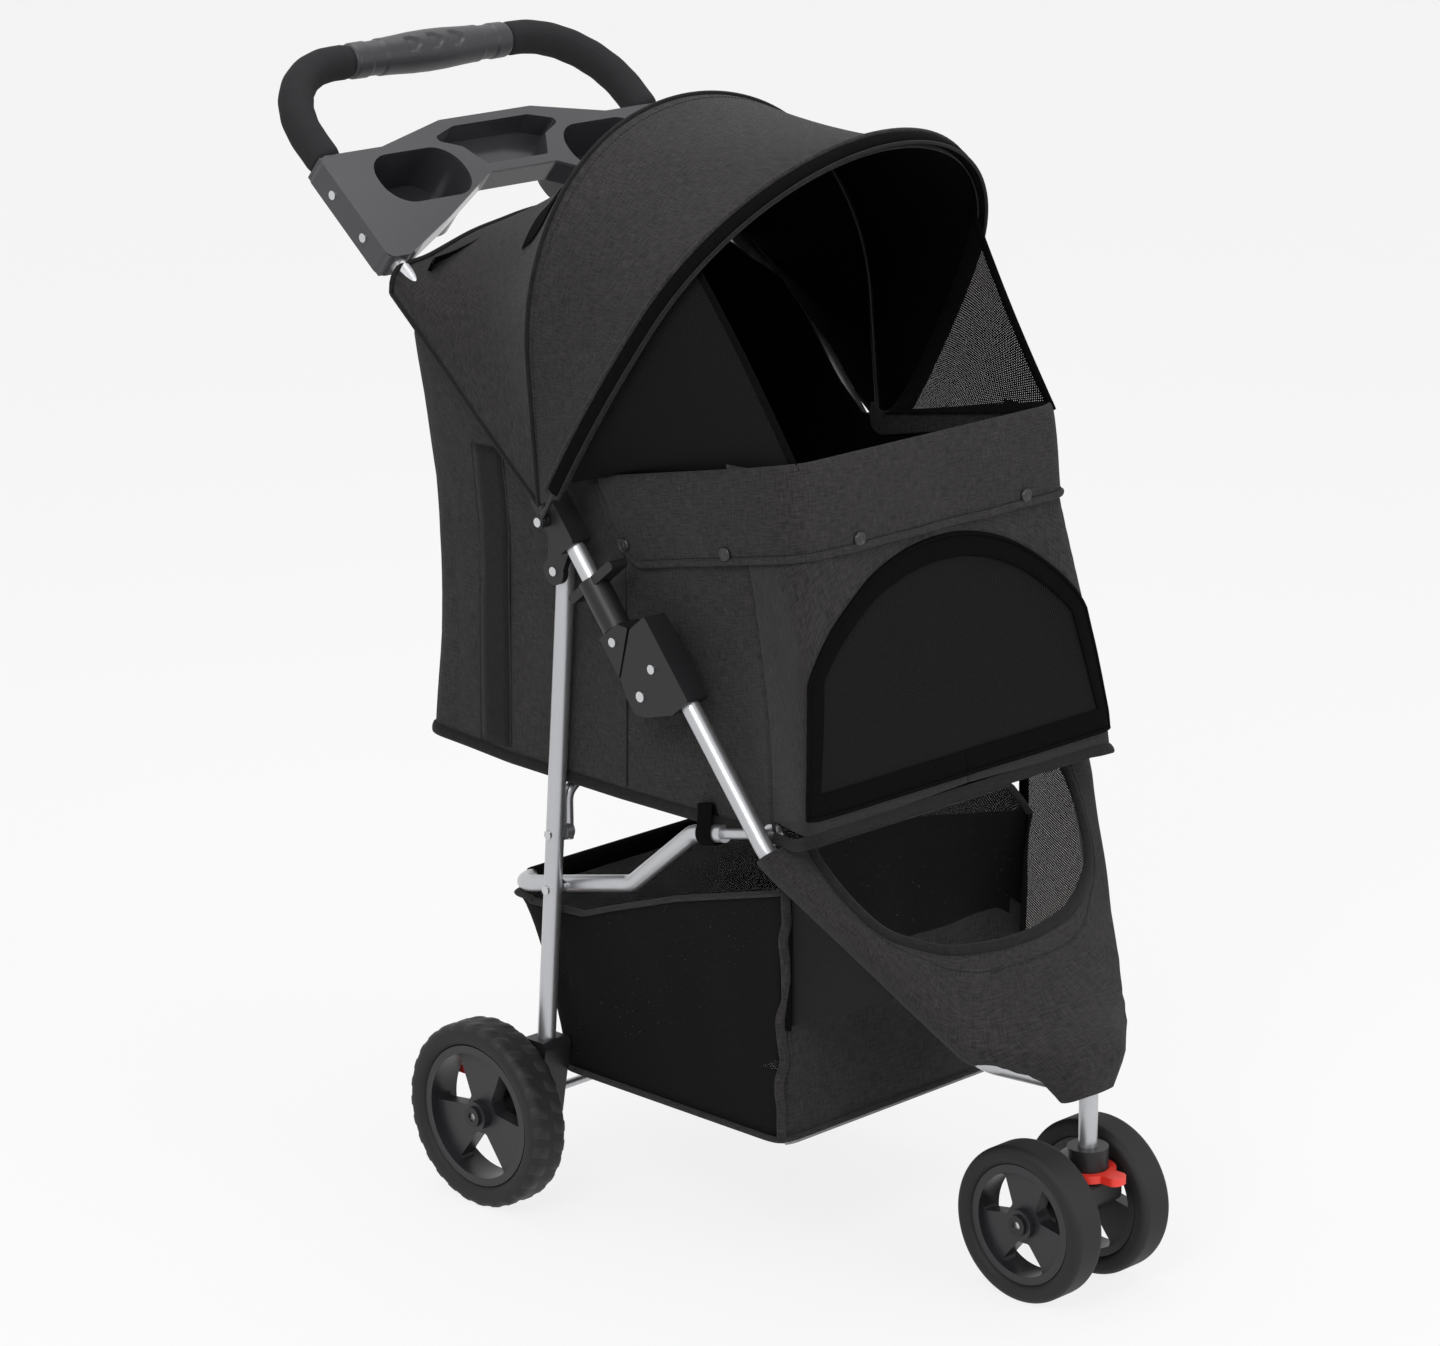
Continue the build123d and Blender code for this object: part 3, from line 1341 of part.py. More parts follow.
# Apron stretched over the front tubes
apron_across = front_tube_offset + tube_radius + rest_gap
apron_plane = Plane(
    origin=(0, *hinge_point(0, apron_across)),
    x_dir=(1, 0, 0),
    z_dir=(0, -lower_sin, lower_cos),
)
with BuildPart() as apron:
    with BuildSketch(apron_plane) as cloth:
        apron_side = [
            (apron_half, apron_top),
            (apron_half, apron_side_end),
            (apron_low_half, apron_low),
            (apron_tip_half, apron_tip),
        ]
        Polygon(*apron_side, *[(-x, y) for x, y in reversed(apron_side)], align=None)
        fillet(cloth.vertices().sort_by(Axis.Y)[:4], radius=apron_tip_half / 2)
        fillet(cloth.vertices().sort_by(Axis.Y)[-4:-2], radius=apron_tip_half)
    extrude(amount=apron_thick)
    with BuildSketch(apron_plane) as cut_out:
        cut_side = [
            (apron_cut_half, apron_top + apron_thick),
            (apron_cut_half, apron_cut_side),
            (apron_cut_low_half, apron_cut_low),
        ]
        Polygon(*cut_side, *[(-x, y) for x, y in reversed(cut_side)], align=None)
        fillet(cut_out.vertices().sort_by(Axis.Y)[:4], radius=apron_cut_radius)
    extrude(amount=apron_thick, mode=Mode.SUBTRACT)
    toe_grow = rest_gap + apron_thick
    with BuildSketch(Plane.XY.offset(nose_low_z + apron_thick)):
        with Locations((0, nose_mid_y)):
            RectangleRounded(2 * (nose_half_x + toe_grow), nose_run + 2 * toe_grow, nose_corner + toe_grow)
    extrude(amount=nose_top_z + rest_gap - nose_low_z)
    with BuildSketch(Plane.XY.offset(nose_low_z)):
        with Locations((0, nose_mid_y)):
            RectangleRounded(2 * (nose_half_x + rest_gap), nose_run + 2 * rest_gap, nose_corner + rest_gap)
    extrude(amount=nose_top_z + rest_gap - nose_low_z, mode=Mode.SUBTRACT)
    for side in sides.values():
        add(swept_rod(front_points(side), front_radii, tube_dia + 2 * rest_gap), mode=Mode.SUBTRACT)
save(apron.part, "apron")
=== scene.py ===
import math

import bpy
import numpy as np
from mathutils import Matrix, Vector


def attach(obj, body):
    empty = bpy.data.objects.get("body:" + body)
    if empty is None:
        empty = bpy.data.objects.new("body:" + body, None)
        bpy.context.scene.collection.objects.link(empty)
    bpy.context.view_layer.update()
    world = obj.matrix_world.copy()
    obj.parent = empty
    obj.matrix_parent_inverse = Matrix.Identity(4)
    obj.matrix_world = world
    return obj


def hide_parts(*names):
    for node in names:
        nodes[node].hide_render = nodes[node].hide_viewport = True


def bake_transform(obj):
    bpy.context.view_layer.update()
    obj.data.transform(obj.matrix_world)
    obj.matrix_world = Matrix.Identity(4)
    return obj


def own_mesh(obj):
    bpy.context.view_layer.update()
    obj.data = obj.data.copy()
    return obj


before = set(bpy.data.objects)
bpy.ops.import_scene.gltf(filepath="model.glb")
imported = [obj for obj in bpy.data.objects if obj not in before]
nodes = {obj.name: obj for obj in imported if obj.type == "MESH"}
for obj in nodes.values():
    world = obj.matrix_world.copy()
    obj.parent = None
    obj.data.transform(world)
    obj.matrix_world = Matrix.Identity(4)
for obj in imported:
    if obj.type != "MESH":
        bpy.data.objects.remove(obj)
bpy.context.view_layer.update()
scene = bpy.context.scene
scene.view_settings.view_transform = "Standard"

# Camera and studio: a long lens in front of the right front wheel side, a little above the cabin.
# The sweep is a matt pale floor under an even white room, with three large soft boxes.
lens_px, image_wide = 4809.86, 1440
view_right = Vector((0.7043, -0.7099, -0.0050)).normalized()
view_up = Vector((0.1951, 0.1867, 0.9628))
view_up = (view_up - view_right * view_up.dot(view_right)).normalized()
view_back = view_right.cross(view_up)
camera_data = bpy.data.cameras.new("camera")
camera_data.sensor_width = 36
camera_data.lens = 36 * lens_px / image_wide
camera_data.shift_x = 7.48 / image_wide
camera_data.shift_y = -5.98 / image_wide
camera_data.clip_end = 50
camera = bpy.data.objects.new("camera", camera_data)
camera.matrix_world = Matrix.Translation((-2.8723, -2.8053, 1.5943)) @ Matrix(
    (view_right, view_up, view_back)
).transposed().to_4x4()
scene.collection.objects.link(camera)
scene.camera = camera


def srgb(red, green, blue):
    """A colour as a picture gives it, 0 to 255, in the renderer's linear numbers."""
    return [((c / 255 + 0.055) / 1.055) ** 2.4 if c > 10 else c / 255 / 12.92 for c in (red, green, blue)] + [1]


def number(tree, operation, one, two=None, clamp=False):
    """One sum on sockets or plain numbers, and its result."""
    node = tree.nodes.new("ShaderNodeMath")
    node.operation, node.use_clamp = operation, clamp
    for slot_in, value in zip(node.inputs, (one, two)):
        if isinstance(value, (int, float)):
            slot_in.default_value = value
        elif value is not None:
            tree.links.new(value, slot_in)
    return node.outputs[0]


def new_material(name, rough, metal=0.0, specular=0.5):
    """A material with one Principled shader, its tree and that shader."""
    made = bpy.data.materials.new(name)
    made.use_nodes = True
    shade = made.node_tree.nodes["Principled BSDF"]
    shade.inputs["Roughness"].default_value = rough
    shade.inputs["Metallic"].default_value = metal
    shade.inputs["Specular IOR Level"].default_value = specular
    return made, made.node_tree, shade


def seen_white(tree):
    """1 where a camera, mirror or glass ray looks at the room, and 0 where light gathers."""
    rays = tree.nodes.new("ShaderNodeLightPath").outputs
    looked_at = number(tree, "MAXIMUM", rays["Is Camera Ray"], rays["Is Glossy Ray"])
    return number(tree, "MAXIMUM", looked_at, rays["Is Transmission Ray"])


def mixed(tree, share, one, two, end):
    """Two shader nodes mixed by a share, and led to an output socket."""
    mix = tree.nodes.new("ShaderNodeMixShader")
    for value, slot_in in zip((share, one.outputs[0], two.outputs[0]), mix.inputs):
        tree.links.new(value, slot_in)
    tree.links.new(mix.outputs[0], end)


room_white = srgb(251, 251, 251)
room_strength, floor_lift_share, floor_reach = 0.55, 0.86, 9
world = bpy.data.worlds.new("white room")
world.use_nodes = True
scene.world = world
tree = world.node_tree
tree.nodes.clear()
room_light = tree.nodes.new("ShaderNodeBackground")
room_light.inputs["Color"].default_value = (1, 1, 1, 1)
room_light.inputs["Strength"].default_value = room_strength
room_seen = tree.nodes.new("ShaderNodeBackground")
room_seen.inputs["Color"].default_value = room_white
room_out = tree.nodes.new("ShaderNodeOutputWorld")
mixed(tree, seen_white(tree), room_light, room_seen, room_out.inputs["Surface"])

floor_mesh = bpy.data.meshes.new("studio_floor")
floor_corners = [(x * floor_reach, y * floor_reach, 0) for x, y in ((-1, -1), (1, -1), (1, 1), (-1, 1))]
floor_mesh.from_pydata(floor_corners, [], [(0, 1, 2, 3)])
studio_floor = bpy.data.objects.new("studio_floor", floor_mesh)
scene.collection.objects.link(studio_floor)
floor_paint, tree, floor_shade = new_material("matt pale floor", 0.95, specular=0.0)
floor_shade.inputs["Base Color"].default_value = srgb(244, 244, 244)
floor_lift = tree.nodes.new("ShaderNodeEmission")
floor_lift.inputs["Color"].default_value = room_white
floor_seen = number(tree, "MULTIPLY", seen_white(tree), floor_lift_share)
mixed(tree, floor_seen, floor_shade, floor_lift, tree.nodes["Material Output"].inputs["Surface"])
floor_mesh.materials.append(floor_paint)

for label, place, aim, size, power in (
    ("key box", (-2.6, -1.2, 2.6), (0, 0, 0.55), 1.6, 46),
    ("front box", (0.6, -3.2, 1.7), (0, -0.1, 0.5), 1.8, 34),
    ("top box", (0.3, 0.6, 3.0), (0, 0, 0.5), 1.8, 30),
):
    lamp_data = bpy.data.lights.new(label, "AREA")
    lamp_data.shape, lamp_data.size, lamp_data.energy = "DISK", size, power
    lamp = bpy.data.objects.new(label, lamp_data)
    lamp.location = place
    lamp.rotation_mode = "QUATERNION"
    lamp.rotation_quaternion = (Vector(aim) - Vector(place)).to_track_quat("-Z", "Y")
    scene.collection.objects.link(lamp)


# Frame tubes: drawn round tube, bent cold and coated satin silver, hinged at each side.
# The handle hoop, front tubes, rear legs, basket rail, axle and stem are all of it.
def effect_group(name, takes, gives):
    """An empty shader group: a vector and named numbers in, named numbers out; with both its ends."""
    group = bpy.data.node_groups.new(name, "ShaderNodeTree")
    group.interface.new_socket("Vector", in_out="INPUT", socket_type="NodeSocketVector")
    for label, value in takes.items():
        socket = group.interface.new_socket(label, in_out="INPUT", socket_type="NodeSocketFloat")
        socket.default_value = value
    for label in gives:
        group.interface.new_socket(label, in_out="OUTPUT", socket_type="NodeSocketFloat")
    return group, group.nodes.new("NodeGroupInput"), group.nodes.new("NodeGroupOutput")


def noise(tree, vector, scale, detail=2.0, rough=0.5):
    """Cloudy noise over a vector, with its size as a number or a socket."""
    node = tree.nodes.new("ShaderNodeTexNoise")
    node.inputs["Detail"].default_value = detail
    node.inputs["Roughness"].default_value = rough
    tree.links.new(vector, node.inputs["Vector"])
    if isinstance(scale, (int, float)):
        node.inputs["Scale"].default_value = scale
    else:
        tree.links.new(scale, node.inputs["Scale"])
    return node.outputs["Fac"]


surface_grain, g_in, g_out = effect_group(
    "surface grain", {"Grain Scale": 900.0, "Cloud Scale": 9.0}, ["Grain", "Cloud"]
)
for label, detail, rough in (("Grain", 3.0, 0.6), ("Cloud", 4.0, 0.55)):
    made = noise(surface_grain, g_in.outputs["Vector"], g_in.outputs[label + " Scale"], detail, rough)
    surface_grain.links.new(made, g_out.inputs[label])


def place_group(tree, group, coordinate="Object", **values):
    """One use of an effect group, fed by object or UV coordinates."""
    use = tree.nodes.new("ShaderNodeGroup")
    use.node_tree = group
    where = tree.nodes.new("ShaderNodeTexCoord")
    tree.links.new(where.outputs[coordinate], use.inputs["Vector"])
    for label, value in values.items():
        use.inputs[label.replace("_", " ")].default_value = value
    return use


def two_tone(tree, share, dark, light):
    """A colour between two, given as a picture gives them, by a share that changes over the surface."""
    mix = tree.nodes.new("ShaderNodeMix")
    mix.data_type = "RGBA"
    mix.inputs["A"].default_value, mix.inputs["B"].default_value = srgb(*dark), srgb(*light)
    tree.links.new(share, mix.inputs["Factor"])
    return mix.outputs["Result"]


def between(tree, share, low, high):
    """A value between two, by a share that changes over the surface."""
    node = tree.nodes.new("ShaderNodeMapRange")
    node.inputs["To Min"].default_value, node.inputs["To Max"].default_value = low, high
    tree.links.new(share, node.inputs["Value"])
    return node.outputs["Result"]


def relief(tree, shade, height, depth, strength=1.0):
    """A bump of that depth, in metres, on a shader."""
    bump = tree.nodes.new("ShaderNodeBump")
    bump.inputs["Strength"].default_value = strength
    bump.inputs["Distance"].default_value = depth
    tree.links.new(height, bump.inputs["Height"])
    tree.links.new(bump.outputs["Normal"], shade.inputs["Normal"])

def moulded(name, dark, light, rough, grain=700.0, depth=0.00006, metal=0.0, specular=0.5):
    """A finish whose tone, gloss and skin vary a little over the surface."""
    gloss_change, cloud_scale = 0.07, 11.0
    made, tree, shade = new_material(name, rough, metal, specular)
    use = place_group(tree, surface_grain, Grain_Scale=grain, Cloud_Scale=cloud_scale)
    tone = use.outputs["Cloud"]
    tree.links.new(two_tone(tree, tone, dark, light), shade.inputs["Base Color"])
    tree.links.new(between(tree, tone, rough - gloss_change, rough + gloss_change), shade.inputs["Roughness"])
    relief(tree, shade, use.outputs["Grain"], depth)
    return made


def pairs(*names):
    """The left and the right piece of each name."""
    return [name + side for name in names for side in ("_left", "_right")]


def dress(paint, *names):
    """Gives CAD pieces a material."""
    for name in names:
        nodes[name].data.materials.clear()
        nodes[name].data.materials.append(paint)


silver_coat = moulded("satin silver coat", (176, 177, 180), (200, 201, 204), 0.34, 1600, 0.00002, 0.85)
dress(silver_coat, "handle_tube", "basket_rail", "cabin_brace", "rear_axle", "steering_stem", "rail_lugs")
dress(silver_coat, *pairs("front_tube", "rear_leg"))
bright_steel = moulded("bright rivet steel", (186, 187, 190), (214, 215, 217), 0.26, 1200, 0.00001, 0.95)
dress(
    bright_steel, "hinge_pins", "housing_rivets", "leg_pivot_pins", "frame_rivets", "rail_pivot_pins",
    "brace_rivets", "pedal_pins", "kingpin", "front_axle",
)

# Folding joints: hinge housings, tongues, sliding latch collars and leg brackets.
# Glass-filled nylon mouldings, black with a fine satin skin, riveted to the tubes.
black_nylon = moulded("black nylon", (24, 24, 26), (33, 33, 35), 0.42, 900, 0.00005, specular=0.35)
dress(black_nylon, "stem_collar", "caster_fork", "rear_axle_caps", "front_axle_caps")
dress(black_nylon, *pairs("hinge_housing", "hinge_tongue", "latch_collar", "leg_bracket", "wheel_mount"))


# Handle foam: two sleeves of closed-cell foam pushed round the bends of the handle hoop.
# Their skin is matt and finely pored, and it puckers a little on the inside of each bend.
def piece(name, points, faces, uvs=None):
    """A smooth mesh piece from millimetre points, with one UV pair for each point, in metres."""
    mesh = bpy.data.meshes.new(name)
    mesh.from_pydata([tuple(p / 1000) for p in np.asarray(points, float)], [], [tuple(f) for f in faces])
    if uvs is not None:
        layer = mesh.uv_layers.new(name="cut")
        for loop in mesh.loops:
            layer.data[loop.index].uv = uvs[loop.vertex_index]
    mesh.polygons.foreach_set("use_smooth", [True] * len(mesh.polygons))
    made = bpy.data.objects.new(name, mesh)
    scene.collection.objects.link(made)
    return made


def skin(name, rows, paint, ring=False):
    """A sheet through rows of millimetre points, with its cut size as UVs; ring joins each row's ends."""
    rows = np.asarray(rows, float)
    count, wide = rows.shape[:2]
    if ring:
        rows = np.concatenate([rows, rows[:, :1]], axis=1)
        wide += 1
    across = np.linalg.norm(np.diff(rows, axis=1), axis=2).mean(0)
    down = np.linalg.norm(np.diff(rows, axis=0), axis=2).mean(1)
    u = np.concatenate([[0], np.cumsum(across)]) / 1000
    v = np.concatenate([[0], np.cumsum(down)]) / 1000
    faces = [
        (i * wide + j, i * wide + j + 1, (i + 1) * wide + j + 1, (i + 1) * wide + j)
        for i in range(count - 1)
        for j in range(wide - 1)
    ]
    uvs = [(u[j], v[i]) for i in range(count) for j in range(wide)]
    made = piece(name, rows.reshape(-1, 3), faces, uvs)
    made.data.materials.append(paint)
    return made


def spaced(path, step=None, count=None):
    """Points evenly spaced along a line of millimetre points."""
    path = np.asarray(path, float)
    run = np.concatenate([[0], np.cumsum(np.linalg.norm(np.diff(path, axis=0), axis=1))])
    count = count or max(2, int(round(run[-1] / step)) + 1)
    wanted = np.linspace(0, run[-1], count)
    return np.stack([np.interp(wanted, run, path[:, k]) for k in range(path.shape[1])], axis=1)


def rings_along(path, radii, sides=12, squeeze=1.0, up=None):
    """Circles of points square to a line, turned without twist; squeeze flattens them along their own up."""
    path = np.asarray(path, float)
    way = np.gradient(path, axis=0)
    way /= np.linalg.norm(way, axis=1)[:, None]
    normal = np.asarray(up if up is not None else (0.13, 0.31, 0.94), float)
    radii = np.broadcast_to(radii, len(path))
    rows = []
    for spot, ahead, radius in zip(path, way, radii):
        normal = normal - ahead * normal.dot(ahead)
        normal /= np.linalg.norm(normal)
        side = np.cross(ahead, normal)
        turn = np.linspace(0, -2 * math.pi, sides, endpoint=False)
        rows.append(
            spot + radius * (np.cos(turn)[:, None] * side + squeeze * np.sin(turn)[:, None] * normal)
        )
    return np.array(rows)


def closed_ends(rows):
    """Rows of a tube with both ends drawn in nearly to a point."""
    drawn_in = 0.98
    first, last = rows[:1], rows[-1:]
    first_end = first.mean(1, keepdims=True) * drawn_in + first * (1 - drawn_in)
    last_end = last.mean(1, keepdims=True) * drawn_in + last * (1 - drawn_in)
    return np.concatenate([first_end, rows, last_end])


def fitted(made, body):
    """Lets a piece ride on a body."""
    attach(made, body)


both_sides = (("left", 1), ("right", -1))
handle_slope = math.radians(40)
bar_y, bar_z = 410.25, 963.33


def on_handle(x, down, up=0.0):
    """A place on the handle's own slope: across, down from the bar and above the tube's middle."""
    return np.array(
        [
            x,
            bar_y - down * math.cos(handle_slope) - up * math.sin(handle_slope),
            bar_z - down * math.sin(handle_slope) + up * math.cos(handle_slope),
        ]
    )


foam, tree, shade = new_material("closed-cell foam", 0.92, specular=0.12)
use = place_group(tree, surface_grain, Grain_Scale=1500, Cloud_Scale=26)
tree.links.new(two_tone(tree, use.outputs["Grain"], (30, 30, 31), (52, 52, 54)), shade.inputs["Base Color"])
relief(tree, shade, use.outputs["Grain"], 0.0004, 0.8)
foam_radius, foam_bend, tube_x, foam_end = 15.5, 82.0, 192.0, 107.4
for label, side in both_sides:
    turn = np.radians(np.linspace(90, 0, 28))
    hoop = [(94.5, 0.0), (96.0, 0.0)]
    hoop += [(tube_x - foam_bend + foam_bend * math.cos(a), foam_bend - foam_bend * math.sin(a)) for a in turn]
    hoop += [(tube_x, foam_end)]
    hoop = spaced(hoop, 3.2)
    line = [on_handle(side * x, down) for x, down in hoop]
    pucker = 0.22 * np.sin(np.arange(len(line)) * 0.9) * np.sin(np.linspace(0, math.pi, len(line)))
    bulk = foam_radius + pucker
    bulk[0] = bulk[-1] = foam_radius - 2.2
    bulk[1] = bulk[-2] = foam_radius - 0.5
    sleeve = skin("foam_sleeve_" + label, closed_ends(rings_along(line, bulk, 32)), foam, ring=True)
    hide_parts("foam_grip_" + label)
    fitted(sleeve, "upper_frame")

# Centre grip: two moulded nylon shells screwed together round the bar between the foam sleeves.
# Its middle swells, three triangle pockets lighten the front, and a ring ends each side.
grip_paint = moulded("grip plastic", (44, 44, 47), (56, 56, 59), 0.46, 800, 0.00008, specular=0.4)
grip_half, grip_sides, pocket_depth, pocket_turn = 94, 72, 2.4, math.radians(38)
grip_marks = [0, 20, 40, 50, 58, 60, 74, 76, 90, 93, 94]
grip_radii = [19.0, 18.6, 17.4, 16.9, 16.8, 15.6, 15.4, 16.4, 16.2, 15.2, 13.6]
grip_rows = [[(-grip_half, bar_y, bar_z)] * grip_sides]
for x in np.concatenate([[-94, -93.6], np.linspace(-92, 92, 185), [93.6, 94]]):
    ring = []
    for turn in np.linspace(0, 2 * math.pi, grip_sides, endpoint=False):
        radius = float(np.interp(abs(x), grip_marks, grip_radii))
        round_at = (turn - pocket_turn + math.pi) % (2 * math.pi) - math.pi
        for centre in (-26.0, 0.0, 26.0):
            along = x - centre
            from_flank = 9.0 - abs(round_at) * 17 * 1.1 - 0.9 * max(0.0, along)
            inside = min(from_flank, 8.0 + along * 0.9, 8.0 - along)
            radius -= pocket_depth * min(1.0, max(0.0, inside / 2.2))
        ring.append((x, bar_y - radius * math.cos(turn), bar_z + radius * math.sin(turn)))
    grip_rows.append(ring)
grip_rows.append([(grip_half, bar_y, bar_z)] * grip_sides)
hand_grip = skin("hand_grip", grip_rows[::-1], grip_paint, ring=True)
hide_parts("handle_grip")
fitted(hand_grip, "upper_frame")

# Cup tray: one injection moulding that clips over both handle tubes and is screwed to them.
# Two cup wells flank a divided bin; the deck has a fine satin grain and the wells are polished.
deck_rough, well_rough, well_top, well_reach = 0.38, 0.12, 0.009, 0.160
tray_paint = moulded("tray plastic", (52, 52, 56), (63, 63, 67), deck_rough, 800, 0.00006, specular=0.45)
tree = tray_paint.node_tree
tray_at = tree.nodes.new("ShaderNodeTexCoord")
tray_split = tree.nodes.new("ShaderNodeSeparateXYZ")
tree.links.new(tray_at.outputs["Object"], tray_split.inputs[0])
deck_rise = number(tree, "SUBTRACT", tray_split.outputs["Z"], bar_z / 1000)
deck_rise = number(tree, "MULTIPLY", deck_rise, math.cos(handle_slope))
deck_run = number(tree, "SUBTRACT", tray_split.outputs["Y"], bar_y / 1000)
deck_run = number(tree, "MULTIPLY", deck_run, math.sin(handle_slope))
in_well = number(tree, "LESS_THAN", number(tree, "SUBTRACT", deck_rise, deck_run), well_top)
near_middle = number(tree, "LESS_THAN", number(tree, "ABSOLUTE", tray_split.outputs["X"]), well_reach)
polished = number(tree, "MULTIPLY", in_well, near_middle)
tray_gloss = between(tree, polished, deck_rough, well_rough)
tree.links.new(tray_gloss, tree.nodes["Principled BSDF"].inputs["Roughness"])
dress(tray_paint, "tray")

# Wheels: a rubber tyre pressed on a moulded rim with three wide spokes.
# The rear tyres carry tread blocks and the front ones are smooth.
rim_paint = moulded("rim plastic", (33, 33, 35), (44, 44, 47), 0.40, 900, 0.00005, specular=0.4)
dress(rim_paint, "rear_left_rim", "rear_right_rim", "front_left_rim", "front_right_rim")
rubber = moulded("tyre rubber", (26, 26, 27), (36, 36, 37), 0.62, 700, 0.0001, specular=0.3)
dress(rubber, "rear_left_tyre", "rear_right_tyre", "front_left_tyre", "front_right_tyre")
tread_rubber = moulded("tread rubber", (32, 32, 33), (44, 44, 45), 0.55, 700, 0.0001, specular=0.3)

rear_radius, rear_y, rear_x, tyre_half, tyre_edge, tread_reach = 82.5, 123.5, 211.0, 19.0, 7.98, 23.0
tread_blocks, block_proud, block_sunk, block_rows, block_cols = 28, 0.8, -0.5, 7, 5


def tyre_skin(across, turn, proud):
    """A place on a rear tyre's rounded tread, by its share across, its turn and how far it stands proud."""
    reach = across * tread_reach
    crown = tyre_half - tyre_edge
    bend = min(max(0.0, abs(reach) - crown) / tyre_edge, 1.45)
    x = np.sign(reach) * (min(abs(reach), crown) + (tyre_edge + proud) * math.sin(bend))
    radius = rear_radius - tyre_edge + (tyre_edge + proud) * math.cos(bend)
    return np.array([x, rear_y + radius * math.cos(turn), rear_radius + radius * math.sin(turn)])


for label, side in both_sides:
    made, faces = [], []
    for k in range(tread_blocks):
        for half in (-1, 1):
            start = (k + (0.5 if half > 0 else 0.0)) * 2 * math.pi / tread_blocks
            base = len(made)
            for i in range(block_rows):
                for j in range(block_cols):
                    u, v = i / (block_rows - 1), j / (block_cols - 1)
                    turn = start + (v - 0.5) * 0.165 + half * 0.07 * math.sin(u * 2.4)
                    on_edge = i in (0, block_rows - 1) or j in (0, block_cols - 1)
                    place = tyre_skin(half * (0.06 + 0.9 * u), turn, block_sunk if on_edge else block_proud)
                    made.append(place + np.array([side * rear_x, 0, 0]))
            for i in range(block_rows - 1):
                for j in range(block_cols - 1):
                    a = base + i * block_cols + j
                    quad = (a, a + block_cols, a + block_cols + 1, a + 1)
                    faces.append(quad[::-1] if half > 0 else quad)
    tread = piece("rear_tread_" + label, made, faces)
    tread.data.materials.append(tread_rubber)
    fitted(tread, "rear_wheel_" + label)

# Brake pedals and swivel lock: small red acetal mouldings that a foot can find.
# The pedals turn on pins through the wheel mounts, and the lock slides up round the caster's stem.
red_acetal = moulded("red acetal", (214, 44, 34), (236, 62, 46), 0.36, 900, 0.00003)
dress(red_acetal, "swivel_lock", *pairs("brake_pedal"))

# Hood: charcoal linen-look polyester sewn in two shaped panels over two spring-wire bows.
# The panels are seamed along the rear bow, and the front hem is a channel that holds the front bow.
linen_weave, w_in, w_out = effect_group("linen weave", {"Thread": 0.0009}, ["Melange", "Height", "Cloud"])
tree, where = linen_weave, w_in.outputs["Vector"]
w_split = tree.nodes.new("ShaderNodeSeparateXYZ")
tree.links.new(where, w_split.inputs[0])
w_turn, w_slubs = [], []
for axis, stretch in (("X", (90, 800, 1)), ("Y", (800, 90, 1))):
    w_count = number(tree, "DIVIDE", w_split.outputs[axis], w_in.outputs["Thread"])
    w_turn.append(number(tree, "SINE", number(tree, "MULTIPLY", w_count, math.pi)))
    w_map = tree.nodes.new("ShaderNodeMapping")
    w_map.inputs["Scale"].default_value = stretch
    tree.links.new(where, w_map.inputs["Vector"])
    w_slubs.append(noise(tree, w_map.outputs["Vector"], 1.0, 2.0, 0.6))
w_mix = number(tree, "SUBTRACT", number(tree, "ADD", *w_slubs), 0.72)
w_mix = number(tree, "MULTIPLY", w_mix, 1.8, True)
w_height = number(tree, "ADD", number(tree, "MULTIPLY", *w_turn), w_mix)
w_cloud = noise(tree, where, 14.0, 3.0, 0.5)
for label, value in (("Melange", w_mix), ("Height", w_height), ("Cloud", w_cloud)):
    tree.links.new(value, w_out.inputs[label])


def woven(name, dark, light, rough=0.92, depth=0.00035, specular=0.1, sheen=0.06):
    """A melange cloth: dark and light slubs along both threads, and a plain weave's bump."""
    made, tree, shade = new_material(name, rough, 0.0, specular)
    shade.inputs["Sheen Weight"].default_value = sheen
    use = place_group(tree, linen_weave, "UV")
    slubs = number(tree, "MULTIPLY", use.outputs["Melange"], 0.75)
    tone = number(tree, "ADD", slubs, number(tree, "MULTIPLY", use.outputs["Cloud"], 0.25))
    tree.links.new(two_tone(tree, tone, dark, light), shade.inputs["Base Color"])
    tree.links.new(between(tree, use.outputs["Melange"], rough - 0.05, rough + 0.05), shade.inputs["Roughness"])
    relief(tree, shade, use.outputs["Height"], depth, 0.5)
    return made


charcoal_linen = woven("charcoal linen", (26, 25, 25), (62, 60, 60))
binding_tape = woven("binding tape", (20, 20, 20), (40, 39, 39), depth=0.0002)
black_lining = woven("black lining", (7, 7, 7), (16, 16, 16), depth=0.0002, specular=0.04, sheen=0.0)
dark_wire = moulded("coated spring wire", (12, 12, 12), (22, 22, 22), 0.5, 500, 0.00004)
dress(dark_wire, "hood_bow_front", "hood_bow_rear")
hood_pivot = np.array([0, 45.0, 628.0])


